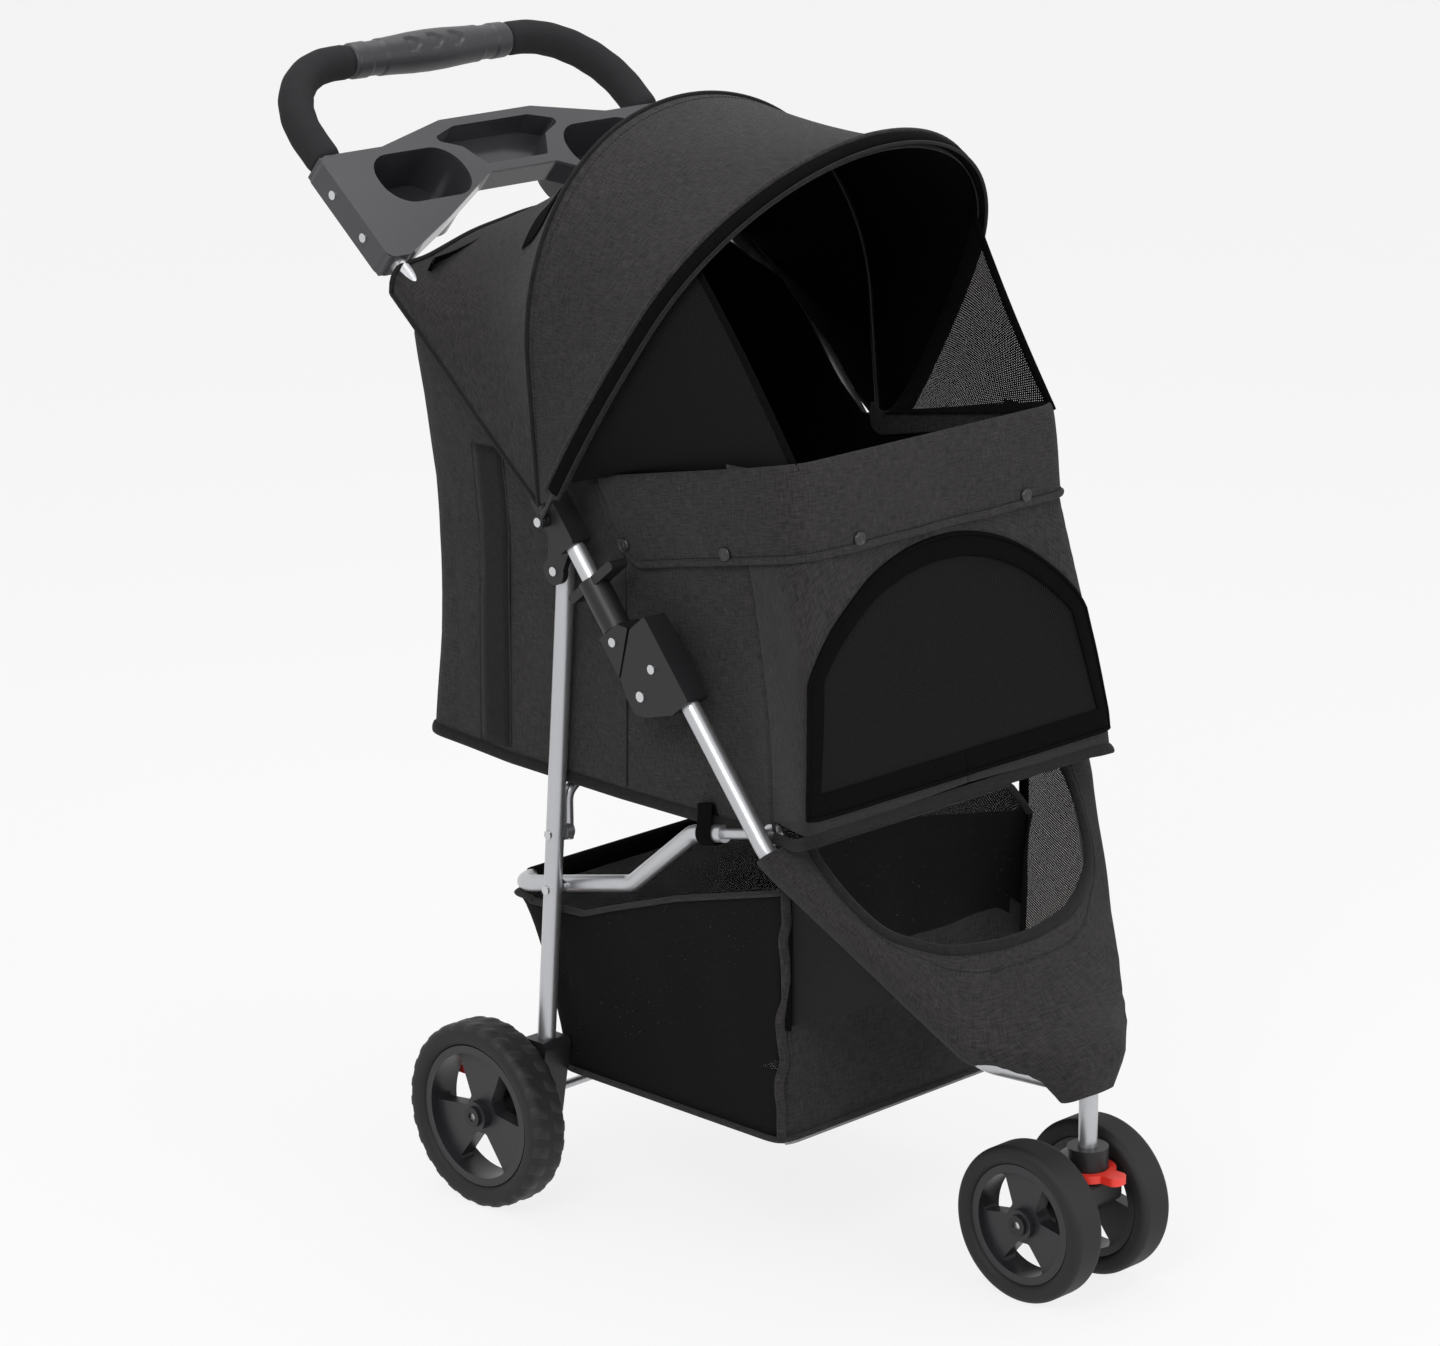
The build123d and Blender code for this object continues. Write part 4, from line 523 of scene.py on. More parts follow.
def bow_arch(half, straight, crown_share, height, start, count, grow=0.0):
    """Places round a bow, evenly spaced from its left foot to its right, as across and up from the pivot."""
    crown = crown_share * half
    lift = height - crown - straight
    shoulder = (half**2 + lift**2 - crown**2) / (2 * (half - crown))
    reach = half - shoulder
    turn = math.atan2(lift / (shoulder - crown), -reach / (shoulder - crown))
    half, shoulder, crown = half + grow, shoulder + grow, crown + grow
    legs = [straight - start, shoulder * turn, crown * (math.pi / 2 - turn)]
    made = []
    for share in np.linspace(-1, 1, count):
        run = (1 - abs(share)) * sum(legs)
        if run < legs[0]:
            x, up = half, start + run
        elif run < legs[0] + legs[1]:
            angle = (run - legs[0]) / shoulder
            x, up = reach + shoulder * math.cos(angle), straight + shoulder * math.sin(angle)
        else:
            angle = turn + (run - legs[0] - legs[1]) / crown
            x, up = crown * math.cos(angle), height - crown + grow + crown * math.sin(angle)
        made.append((-x if share > 0 else x, up))
    return np.array(made)


def in_bow(places, angle, ahead=0.0):
    """Across and up places in a bow's plane, tilted to its angle and moved ahead of it."""
    tilt = math.radians(angle)
    up = np.array([0, math.cos(tilt), math.sin(tilt)])
    out = np.array([0, -math.sin(tilt), math.cos(tilt)])
    return hood_pivot + places[:, :1] * np.array([1, 0, 0]) + places[:, 1:] * up + ahead * out


def eased(points, per_run=12):
    """A smooth line through millimetre points, without overshoot at its ends."""
    p = np.asarray(points, float)
    p = np.concatenate([[2 * p[0] - p[1]], p, [2 * p[-1] - p[-2]]])
    made = []
    for i in range(1, len(p) - 2):
        for t in np.linspace(0, 1, per_run, endpoint=False):
            a, b, c, d = p[i - 1], p[i], p[i + 1], p[i + 2]
            made.append(
                b + 0.5 * t * (c - a + t * (2 * a - 5 * b + 4 * c - d + t * (3 * (b - c) + d - a)))
            )
    return np.array(made + [p[-2]])


hood_cols = 97
rear_edge_y, rear_edge_z, rear_angle, front_angle = 229.52, 796.0, 84.6, 121.75
rear_bow, front_bow = (206, 131.4, 1.128, 327.9), (210.5, 46, 0.937, 373.3)
hem_half = [(207, 0), (205.5, 12), (198, 21.5), (184, 24), (163, 27), (116, 40), (81, 46), (45, 51), (0, 53)]
hem_whole = hem_half + [(-x, up) for x, up in hem_half[-2::-1]]
rear_hem = eased([(x, rear_edge_y, rear_edge_z + up) for x, up in hem_whole], 10)
rear_hem = spaced(rear_hem, count=hood_cols)
rear_seam = in_bow(bow_arch(*rear_bow, 14, hood_cols, 4.0), rear_angle)
front_seam, front_ridge, front_lip, front_tuck, front_tuck_end = (
    in_bow(bow_arch(*front_bow, start, hood_cols, grow), front_angle, ahead)
    for start, grow, ahead in ((34, 3.2, 9.0), (33, 4.6, 0.0), (32, 2.6, -7.0), (34, -2.8, -4.0), (36, -3.6, 8.0))
)
place_across = np.linspace(-1, 1, hood_cols)
to_pivot = 1 - np.abs(place_across)


def slack(row, amount):
    """A row of cloth moved inward, towards the middle of the hood."""
    middle = np.array([0, 30.0, 690.0])
    way = middle - row
    way[:, 0] *= 0.55
    way /= np.linalg.norm(way, axis=1)[:, None]
    return row + way * np.reshape(amount, (-1, 1))


rear_rows, main_rows = [], []
for t in np.linspace(0, 1, 19):
    row = rear_hem * (1 - t) + rear_seam * t
    sag = 9.0 * math.sin(math.pi * t) * np.clip(to_pivot * 2.2, 0, 1) ** 0.7
    sag = sag + 1.1 * math.sin(math.pi * t) * np.sin(place_across * 21 + 3 * t) * np.clip(1.3 - to_pivot, 0, 1)
    rear_rows.append(slack(row, sag))
for t in np.linspace(0, 1, 23):
    row = rear_seam * (1 - t) + front_seam * t
    sag = 7.0 * math.sin(math.pi * t) ** 0.8 * np.clip(to_pivot * 2.5, 0, 1) ** 0.6
    sag = sag + 0.9 * math.sin(math.pi * t) * np.sin(place_across * 17 + 4 * t) * np.clip(1.15 - to_pivot, 0, 1)
    main_rows.append(slack(row, sag))
main_rows += [front_seam * 0.45 + front_ridge * 0.55, front_ridge, front_lip, front_tuck, front_tuck_end]


def made_cloth(cloth, thick, smooth=1, lining=None):
    """Gives a sheet its cloth thickness, inward, with a lining on that side, and rounds it."""
    solid = cloth.modifiers.new("cloth thickness", "SOLIDIFY")
    solid.thickness, solid.offset = thick / 1000, -1
    if lining:
        cloth.data.materials.append(lining)
        solid.material_offset = 1
    if smooth:
        soft = cloth.modifiers.new("soft", "SUBSURF")
        soft.levels = soft.render_levels = smooth
    return cloth


hood_rear_panel = made_cloth(skin("hood_rear_panel", rear_rows, charcoal_linen), 1.0, 1, black_lining)
hood_main_panel = made_cloth(skin("hood_main_panel", main_rows, charcoal_linen), 1.0, 1, black_lining)


def bead(name, path, radius, paint, sides=10, squeeze=1.0, up=None):
    """A round or flattened cord of cloth along a line, closed at its ends."""
    return skin(name, closed_ends(rings_along(path, radius, sides, squeeze, up)), paint, ring=True)


def stitches(name, path, pitch=4.0, length=2.7, radius=0.42):
    """A line of thread stitches along a seam, as one piece."""
    points = spaced(path, pitch)
    ring = [(1, 0), (0, 1), (-1, 0), (0, -1)]
    made, faces = [], []
    for a, b in zip(points[:-1], points[1:]):
        way = (b - a) / np.linalg.norm(b - a)
        side = np.cross(way, (0.21, 0.37, 0.9))
        side /= np.linalg.norm(side)
        over = np.cross(way, side)
        middle, base = (a + b) / 2, len(made)
        for at, size in ((-0.5, 0.35), (-0.3, 1.0), (0.3, 1.0), (0.5, 0.35)):
            made += [middle + way * length * at + radius * size * (c * side + s * over) for c, s in ring]
        faces += [
            (base + 4 * i + j, base + 4 * i + (j + 1) % 4, base + 4 * i + 4 + (j + 1) % 4, base + 4 * i + 4 + j)
            for i in range(3)
            for j in range(4)
        ]
    sewn = piece(name, made, faces)
    sewn.data.materials.append(thread)
    return sewn


thread = moulded("sewing thread", (34, 33, 33), (58, 57, 57), 0.85, 3000, 0.00005, specular=0.1)
rear_bow_piping = bead("rear_bow_piping", slack(rear_seam, -0.6), 2.0, binding_tape)
front_piping = bead("front_hem_piping", slack(front_lip, -0.4), 2.3, charcoal_linen)
front_channel_piping = bead("front_channel_seam", slack(front_seam, -0.2), 1.5, binding_tape)
hood_hem_left = bead("hood_hem_left", [row[0] for row in rear_rows], 2.2, binding_tape)
hood_hem_right = bead("hood_hem_right", [row[-1] for row in rear_rows], 2.2, binding_tape)
rear_edge_tape = bead("hood_rear_hem", rear_hem, 2.4, binding_tape)
channel_stitch = stitches("front_channel_stitch", slack(np.array(main_rows[-7]), -0.3))
seam_stitch = stitches("rear_seam_stitch", slack(np.array(main_rows[1]), -0.35))

tab_x, tab_wide = -150, 6
tab_rows = []
for row in rear_rows[12:17]:
    near = sorted(range(hood_cols), key=lambda k: abs(row[k][0] - tab_x))[:tab_wide]
    tab_rows.append([slack(row, -2.4)[k] for k in sorted(near)])
hook_tab = made_cloth(skin("hood_hook_tab", tab_rows, black_lining), 1.6, 1)

main_trim = [front_piping, front_channel_piping, channel_stitch, seam_stitch]
rear_trim = [hood_hem_left, hood_hem_right, rear_edge_tape, hook_tab]
for cloth in (hood_main_panel, *main_trim):
    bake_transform(cloth)
for cloth in (hood_rear_panel, *rear_trim):
    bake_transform(cloth)
fitted(rear_bow_piping, "hood_rear")
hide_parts("hood")

# Cabin: a soft bag of charcoal linen, hung from the frame tubes, with piped bottom edges.
# Its wall is one band, turned round soft corners, with a tall arched opening cut in the front.
floor_z, band_marks, girth, jamb_run = 409.0, 480, 1560.0, 232.0
front_heights, front_halves = [400, 440, 490, 545, 600, 640, 702, 830], [192, 192, 186, 177, 168, 161, 159, 168]
rear_heights = [400, 426, 482, 554, 626, 696, 756, 800, 830]
rear_places = [247, 245, 239, 236, 237, 241, 248, 238, 227]


def cabin_outline(z):
    """The cabin's outline at a height, evenly spaced from the middle of the rear, round the right side."""
    front_x = float(np.interp(z, front_heights, front_halves))
    front_y = -254 + 50 * (z - 406) / 296
    half = 162.5 + max(0, z - 600) / 220 * 19.5 - 0.8
    rear = float(np.interp(z, rear_heights, rear_places))
    lean_over = float(np.interp(z, [420, 500, 640, 720], [4, 3, 3, 2]))
    corners = [(0, rear), (-half, rear), (-half, -150), (-front_x - lean_over, front_y)]
    corners += [(front_x - lean_over, front_y), (half, -150), (half, rear), (0, rear)]
    line = spaced(corners, count=band_marks + 1)[:-1]
    for _ in range(3):
        line = sum(np.roll(line, k, axis=0) for k in range(-3, 4)) / 7
    return line


outline_levels = np.linspace(400, 830, 44)
outlines = np.array([cabin_outline(z) for z in outline_levels])


def on_band(mark, z, out=0.0):
    """A place on the cabin's wall: a share of the way round, a height, and a distance outward."""
    level = (z - outline_levels[0]) / (outline_levels[1] - outline_levels[0])
    low = int(np.clip(level, 0, len(outline_levels) - 2))
    line = outlines[low] + (outlines[low + 1] - outlines[low]) * (level - low)
    where = (mark % 1.0) * band_marks
    first = int(where) % band_marks
    ahead = line[(first + 1) % band_marks] - line[first]
    spot = line[first] + ahead * (where - int(where))
    ahead = line[(first + 3) % band_marks] - line[first - 2]
    ahead /= np.linalg.norm(ahead)
    return np.array([spot[0] + ahead[1] * out, spot[1] - ahead[0] * out, z])


def crease(mark, z):
    """Soft folds of the wall, inward only: long upright waves and a few slanting pulls."""
    wave = 0.5 + 0.5 * math.sin(mark * 74 + 1.3 * math.sin(z / 61)) * math.cos(mark * 31 + z / 140)
    pull = 0.5 + 0.5 * math.sin(mark * 160 + z / 33)
    share = math.sin(math.pi * min(1, max(0, (z - floor_z) / 290))) ** 0.7
    return -(2.2 * wave + 0.7 * pull) * share


def brim_z(y, x=999.0):
    """Height of the wall's top edge: low at the hood's pivot, and up under the hood's hem behind it."""
    if y > 205:
        return float(np.interp(abs(x), [0, 45, 81, 116, 163, 184], [853, 851, 846, 840, 826, 812]))
    return float(np.interp(y, [-203, 12, 45, 80, 110, 150, 200], [703, 661, 690, 740, 768, 780, 800]))


hem_places, hem_heights = [-250, -225, -187, -94, 26, 152, 203, 250], [419, 410, 396, 387, 387, 390, 394, 397]


def hem_z(y):
    """Height of the wall's bottom edge, which hangs lower between the corners."""
    return float(np.interp(y, hem_places, hem_heights))


def wall_point(mark, z, out=0.0):
    """A place on the wall with its soft folds."""
    return on_band(mark, z, out + crease(mark, z))


def at_front(x, z, out=0.0):
    """A place on the cabin's front, by its distance along the wall from the middle."""
    return wall_point(0.5 + x / girth, z, out)


def cabin_cloth(slot_name, *cloths):
    """Hangs pieces of the cabin on the upper frame, each with a mesh of its own."""
    for cloth in cloths:
        fitted(cloth, "upper_frame")
        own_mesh(cloth)


wall_rows = []
side_marks = np.linspace(0.5 + jamb_run / girth, 1.5 - jamb_run / girth, 131)
lead_y, lead_from, lead = 205, 0.92, 16
for t in np.linspace(0, 1, 25):
    row = []
    for mark in side_marks:
        x, y, _ = on_band(mark, 600)
        low = hem_z(y)
        place = wall_point(mark, low + t * (brim_z(y, x) - low))
        if y > lead_y:
            place[1] -= lead * max(0.0, t - lead_from) / (1 - lead_from)
        row.append(place)
    wall_rows.append(row)
cabin_side_wall = made_cloth(skin("cabin_side_wall", wall_rows, charcoal_linen), 1.4, 0, black_lining)
bottom_line = [on_band(mark, hem_z(on_band(mark, 600)[1]) + 3.0, 0.4) for mark in np.linspace(0, 1, 241)]
bottom_rings = rings_along(bottom_line, 5.4, 10, 0.5, (0.1, 1.0, 0.1))
bottom_binding = skin("cabin_bottom_binding", bottom_rings, binding_tape, ring=True)

door_sill, door_spring, door_top = (176.0, 427.0), (165.0, 532.0), 622.0
sill_steps, post_steps, arc_steps = 40, 26, 26
rise = door_top - door_spring[1]
arch_radius = (door_spring[0] ** 2 + rise**2) / (2 * rise)
arch_swing = math.asin(door_spring[0] / arch_radius)


def door_line(shrink):
    """The door's arch, made smaller by a distance, as across and height from the sill's middle, closed."""
    x0, z0 = door_sill[0] - shrink, door_sill[1] + shrink
    x1, z1 = door_spring[0] - shrink, door_spring[1]
    half = [(-x0 * k, z0) for k in np.linspace(0, 1, sill_steps, endpoint=False)]
    for k in np.linspace(0, 1, post_steps, endpoint=False):
        half.append((-x0 + (x0 - x1) * k, z0 + (z1 - z0) * k))
    arc = []
    for angle in np.linspace(-1, 1, arc_steps * 2 + 1) * arch_swing:
        fall = arch_radius * (1 - math.cos(angle)) * (door_top - shrink - z1) / rise
        arc.append((arch_radius * math.sin(angle) * x1 / door_spring[0], door_top - shrink - fall))
    return np.array(half + arc + [(-x, z) for x, z in reversed(half[1:])])


arch_edge = door_line(0)
cut = np.array([(0, 418.0), (-232, 410), (-232, 699), (232, 699), (232, 410), (0, 418)])
cut_steps = (sill_steps, post_steps, 2 * arc_steps, post_steps, sill_steps)
panel_edge = np.concatenate([spaced(cut[k:k + 2], count=steps + 1)[:-1] for k, steps in enumerate(cut_steps)])
front_rows = []
for t in np.linspace(0, 1, 21):
    front_rows.append([at_front(x, z) for x, z in arch_edge * (1 - t) + panel_edge * t])
cabin_front = made_cloth(skin("cabin_front_panel", front_rows, charcoal_linen, ring=True), 1.4, 0, black_lining)
cabin_cloth("charcoal_fabric", cabin_side_wall, cabin_front, bottom_binding)
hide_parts("cabin_walls")
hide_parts("cabin_walls")

# Door: black mosquito net in the arch, edged all round with a broad band of black tape.
# A coil zip runs between the band and the cabin's front, so the door can drop open.
net, n_in, n_out = effect_group("knitted net", {"Pitch": 0.0022, "Wire": 0.6}, ["Cover", "Height"])
n_split = net.nodes.new("ShaderNodeSeparateXYZ")
net.links.new(n_in.outputs["Vector"], n_split.inputs[0])
n_lines = []
for operation in ("ADD", "SUBTRACT"):
    along = number(net, operation, n_split.outputs["X"], n_split.outputs["Y"])
    turn = number(net, "MULTIPLY", number(net, "DIVIDE", along, n_in.outputs["Pitch"]), math.pi)
    n_lines.append(number(net, "ABSOLUTE", number(net, "SINE", turn)))
n_near = number(net, "MINIMUM", n_lines[0], n_lines[1])
net.links.new(number(net, "LESS_THAN", n_near, n_in.outputs["Wire"]), n_out.inputs["Cover"])
net.links.new(number(net, "SUBTRACT", 1.0, n_near), n_out.inputs["Height"])


def netted(name, colour, light, wire, pitch=0.0022):
    """A net whose holes are open, with round yarns, each painted lighter along its crown and darker at its edges as
    painted shade.
    """
    made, tree, shade = new_material(name, 0.8, 0.0, 0.15)
    use = place_group(tree, net, "UV", Pitch=pitch, Wire=wire)
    tree.links.new(use.outputs["Cover"], shade.inputs["Alpha"])
    # Painted highlight and shade: each yarn's colour runs from the dark colour at its edges to the light one along
    # its crown.
    tree.links.new(two_tone(tree, use.outputs["Height"], colour, light), shade.inputs["Base Color"])
    relief(tree, shade, use.outputs["Height"], 0.0004, 0.6)
    return made


black_net = netted("black net", (8, 8, 8), (24, 24, 24), 0.72)
band_rows = []
for k in np.linspace(1, 0, 5):
    band_rows.append([at_front(x, z, 0.9 - 0.6 * k) for x, z in door_line(-3 + 21 * k)])
door_band = made_cloth(skin("door_band", band_rows, black_lining, ring=True), 1.0, 0)
net_inset, net_sink, net_slack = 16, 1.0, 3.5
net_heights, net_halves = zip(*sorted((z, -x) for x, z in door_line(net_inset) if x < 0))
net_rows = []
for t in np.linspace(0, 1, 14):
    z = door_sill[1] + net_inset + t * (door_top - 2 * net_inset - door_sill[1])
    half = float(np.interp(z, net_heights, net_halves))
    row = []
    for x in np.linspace(-half, half, 33):
        row.append(at_front(x, z, -net_sink - net_slack * math.sin(math.pi * t) * (1 - (x / 170) ** 2)))
    net_rows.append(row)
door_net = skin("door_net", net_rows, black_net)
zip_line = np.array([at_front(x, z, 1.4) for x, z in door_line(-1)])
door_zip = skin("door_zip", rings_along(np.concatenate([zip_line, zip_line[:1]]), 1.5, 8), black_lining, ring=True)
cabin_cloth("charcoal_fabric", door_band, door_zip)
cabin_cloth("black_mesh", door_net)
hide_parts("door_mesh")

# Cuff: the cabin's front rim, folded outward over itself and held down with moulded snaps.
# It wraps from side to side, and its lower edge is bound with a linen tape.
cuff_end = min(np.linspace(0.2, 0.4, 400), key=lambda mark: abs(on_band(mark, 640)[1] - 14))
cuff_marks = np.linspace(cuff_end, 1 - cuff_end, 141)
cuff_run = (cuff_marks - cuff_end) * girth
cuff_from_end = np.minimum(cuff_run, cuff_run[::-1])
cuff_line = np.array([brim_z(max(-203, on_band(mark, 680)[1])) + 4 for mark in cuff_marks])
cuff_drop = 74 * np.sqrt(np.clip(1 - (1 - np.clip(cuff_from_end / 36, 0.02, 1)) ** 2, 0, 1))
cuff_wave = 1.8 * np.sin(cuff_run / 17.0) * np.sin(cuff_run / 53.0)
cuff_rows = []
for share, out, lift in (
    (None, -5.0, -20), (None, -4.5, -4), (None, -1.0, 2.2), (None, 2.4, 1.0), (0.08, 4.0, 0), (0.25, 4.4, 0),
    (0.45, 4.4, 0), (0.65, 3.8, 0), (0.85, 3.0, 0), (1.0, 2.4, 0),
):
    row = []
    for k, mark in enumerate(cuff_marks):
        z = cuff_line[k] + (lift if share is None else -share * cuff_drop[k])
        swell = 0 if share is None else cuff_wave[k] * share
        row.append(on_band(mark, z, out + swell))
    cuff_rows.append(row)
cuff = made_cloth(skin("front_cuff", cuff_rows[::-1], charcoal_linen), 1.6, 1, black_lining)
cuff_edge = np.array(cuff_rows[-1])
cuff_binding = bead("cuff_binding", cuff_edge, 3.4, charcoal_linen, 10, 0.75)
cuff_seam = np.array(cuff_rows[-2]) * 0.35 + cuff_edge * 0.65 + np.array([0, -0.3, 0])
cuff_stitch = stitches("cuff_stitch", cuff_seam)

snap_plastic = moulded("snap plastic", (22, 22, 23), (34, 34, 35), 0.3, 900, 0.00003)
snap_shape = [(6.2, -1.0), (6.4, 0.8), (5.6, 1.9), (4.2, 2.2), (3.6, 1.5), (2.2, 1.9), (0.05, 2.0)]
snap_sides, snap_lift, far_off = 24, 0.8, 999
snaps = []
for k, (side, value) in enumerate(((-1, -14), (-1, -132), (0, -105), (0, 105), (1, -132), (1, -14))):
    if side == 0:
        away = np.abs(cuff_edge[:, 0] - value) + far_off * (cuff_edge[:, 1] >= -195)
    else:
        away = np.abs(cuff_edge[:, 1] - value) + far_off * (cuff_edge[:, 0] * side <= 0)
    best = int(np.argmin(away))
    spot = cuff_edge[best] * 0.75 + np.array(cuff_rows[-3][best]) * 0.25
    way = spot - on_band(cuff_marks[best], spot[2], -20)
    way = Vector((way[0], way[1], 0)).normalized()
    sideways = way.orthogonal().normalized()
    upward = way.cross(sideways)
    rows = []
    for radius, height in snap_shape:
        turns = np.linspace(0, 2 * math.pi, snap_sides, endpoint=False)
        ring = [radius * (math.cos(a) * np.array(sideways) + math.sin(a) * np.array(upward)) for a in turns]
        rows.append(spot + np.array(way) * (snap_lift + height) + np.array(ring))
    snaps.append(skin(f"cuff_snap_{k + 1}", rows, snap_plastic, ring=True))
cuff_trim = [cuff_binding, cuff_stitch]
cabin_cloth("charcoal_fabric", cuff, *cuff_trim)
cabin_cloth("black_plastic", *snaps)
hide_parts("front_flap")

# Cabin floor: a stiff board in a sewn cover, with a thin quilted top that the pet lies on.
# It drops in from above and rests on the brace and on the tape loops of the basket rail.
mat_rear, mat_front, mat_z, mat_pad, mat_quilt = 224, -246, 409.5, 4.0, 2.2
mat_rows = []
for t in np.linspace(0, 1, 25):
    y = mat_rear + t * (mat_front - mat_rear)
    half = float(np.interp(y, [mat_front, -150, mat_rear], [182, 157.5, 157.5]))
    row = []
    for x in np.linspace(1, -1, 21):
        edge = min(1, 12 * min(t, 1 - t), 9 * (1 - abs(x)))
        quilt = abs(math.sin(math.pi * 4 * x)) ** 0.5 * abs(math.sin(math.pi * 6 * t)) ** 0.5
        row.append((x * half, y, mat_z + mat_pad * edge + mat_quilt * quilt * edge))
    mat_rows.append(row)
floor_mat = made_cloth(skin("cabin_floor_mat", mat_rows, black_lining), 3.0)
cabin_cloth("floor_board", floor_mat)
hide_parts("cabin_floor")

# Hood gussets: net triangles that close the gap between the hood's front bow and the cuff.
# They are sewn to the bow's channel and to the inside of the cuff, with a bound front edge.
gusset_net = netted("gusset net", (5, 5, 5), (17, 17, 17), 0.94, 0.0026)
gusset_top, gusset_slack, gusset_rows = 858.0, 3.0, 22
bow_side = in_bow(bow_arch(*front_bow, 40, 401, -5.0), front_angle, -1.0)


def hung_between(one, two, bow_in, count):
    """A row of cloth between two places, bowed inward in the middle."""
    shares = np.linspace(0, 1, count)[:, None]
    return one + (two - one) * shares + np.sin(math.pi * shares) * np.array([bow_in, 0, 0])


for label, side in both_sides:
    run = bow_side[bow_side[:, 0] * side > 0]
    run = run[np.argsort(run[:, 2])]
    upper = spaced(run[run[:, 2] < gusset_top][::-1], count=gusset_rows)
    lower = np.linspace((side * 157.0, -200.0, 701.0), (side * 160.5, -2.0, 667.5), gusset_rows)
    rows = [hung_between(a, b, -side * gusset_slack, 14) for a, b in zip(upper, lower)]
    gusset = skin("hood_gusset_" + label, rows, gusset_net)
    edge = bead("gusset_binding_" + label, rows[0], 4.5, black_lining, 10, 0.3, (1, 0, 0))
    for cloth, slot_name in ((gusset, "black_mesh"), (edge, "charcoal_fabric")):
        fitted(cloth, "upper_frame")
        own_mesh(cloth)
    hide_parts("hood_gussets")

# Side webbing and seams: a black tape stitched down each side of the cabin behind the leg.
# It carries the load from the hood's hem to the floor, and a plain seam runs down in front of the leg.
def mark_at(side, y, z):
    """The share round the wall, on a side and at a height, of a distance along the stroller."""
    ahead = np.linspace(0.12, 0.45, 67)
    found = float(np.interp(-y, [-on_band(m, z)[1] for m in ahead], ahead))
    return found if side < 0 else 1 - found


for label, side in both_sides:
    tape_rows = []
    for z in np.linspace(402, 668, 30):
        marks = [mark_at(side, y, z) for y in np.linspace(176, 138, 5)]
        tape_rows.append([wall_point(m, z, 1.3 if 0 < k < 4 else 0.7) for k, m in enumerate(marks)])
    tape_rows = np.array(tape_rows)[:, :: (1 if side < 0 else -1)]
    tape = made_cloth(skin("side_webbing_" + label, tape_rows, binding_tape), 0.8, 0)
    trim = []
    for k, column in ((1, 0), (2, 4)):
        trim.append(bead(f"webbing_edge_{label}_{k}", tape_rows[:, column], 0.9, charcoal_linen, 8))
    seam_line = [wall_point(mark_at(side, -6, z), z, 0.3) for z in np.linspace(398, 655, 40)]
    trim.append(bead("side_seam_" + label, seam_line, 1.0, binding_tape, 8))
    cabin_cloth("charcoal_fabric", tape, *trim)

# Basket: an open bag of black net with a linen front and base, every edge bound with tape.
# Its rim is sewn round the silver rail, and the loaded bag sags below it between the corners.
basket_net = netted("basket net", (3, 3, 3), (11, 11, 11), 0.985, 0.0024)
basket_marks, basket_half, basket_front, basket_low, wall_steps = 240, 156, -187, 121.0, 17


def basket_line(down):
    """The basket's outline a share of the way down, from the middle of the rear, round the left side."""
    front = basket_front + 5 * down
    rear = 147 - 62 * down**0.8
    corners = [(0, rear), (basket_half, rear), (basket_half, front)]
    corners += [(-x, y) for x, y in reversed(corners)]
    line = spaced(corners, count=basket_marks + 1)[:-1]
    for _ in range(2):
        line = sum(np.roll(line, k, axis=0) for k in range(-2, 3)) / 5
    return line


def rim_z(x, y):
    """Height of the basket's rim under the rail, with its sag towards the rear of each side."""
    rail = 282.17 + (76.03 - y) * 0.229
    side = float(np.interp(abs(x), [120, 150], [0, 1]))
    sag = float(np.interp(y, [-187, -60, 20, 55, 90, 142], [0, 5, 14, 19, 13, 3])) * side
    if y > 120:
        return rail - sag + 3.0
    return rail - sag + (float(np.interp(abs(x), [120, 150], [33, 0])) if y < -170 else 0)


basket_rows = []
basket_rim = basket_line(0)
for t in np.linspace(0, 1, wall_steps):
    row = []
    for k, (x, y) in enumerate(basket_line(t)):
        z = rim_z(*basket_rim[k]) * (1 - t) + basket_low * t
        flat = np.array([x / basket_half, (y + 50) / 137])
        belly = 4.5 * math.sin(math.pi * t) ** 0.8 * (0.6 + 0.4 * math.sin(k * 0.37 + 3 * t))
        away = np.sign(flat) * (np.abs(flat) > 0.93)
        row.append((x - away[0] * belly * 0.8, y - away[1] * belly, z))
    basket_rows.append(row)
low_ring = np.array(basket_rows[-1])
base_middle = np.array([0, -50.0, basket_low])
for t in (0.96, 0.85, 0.65, 0.4, 0.15):
    row = base_middle + (low_ring - base_middle) * t
    row[:, 2] = basket_low - 6.0 * (1 - t**2) + 2.0 * (t > 0.9)
    basket_rows.append(row)
basket = skin("basket_bag", basket_rows, basket_net, ring=True)
basket.data.materials.append(charcoal_linen)
base_top, front_wall, front_half, front_top = 0.1235, -0.165, 0.1505, 0.262
for face in basket.data.polygons:
    x, y, z = face.center
    if z < base_top or y < front_wall and abs(x) < front_half and z < front_top:
        face.material_index = 1


def closed_tape(name, line, radius, squeeze, up=None):
    """A flattened linen tape sewn all round a closed line."""
    rows = rings_along(np.concatenate([line, line[:1]]), radius, 10, squeeze, up)
    return skin(name, rows, charcoal_linen, ring=True)


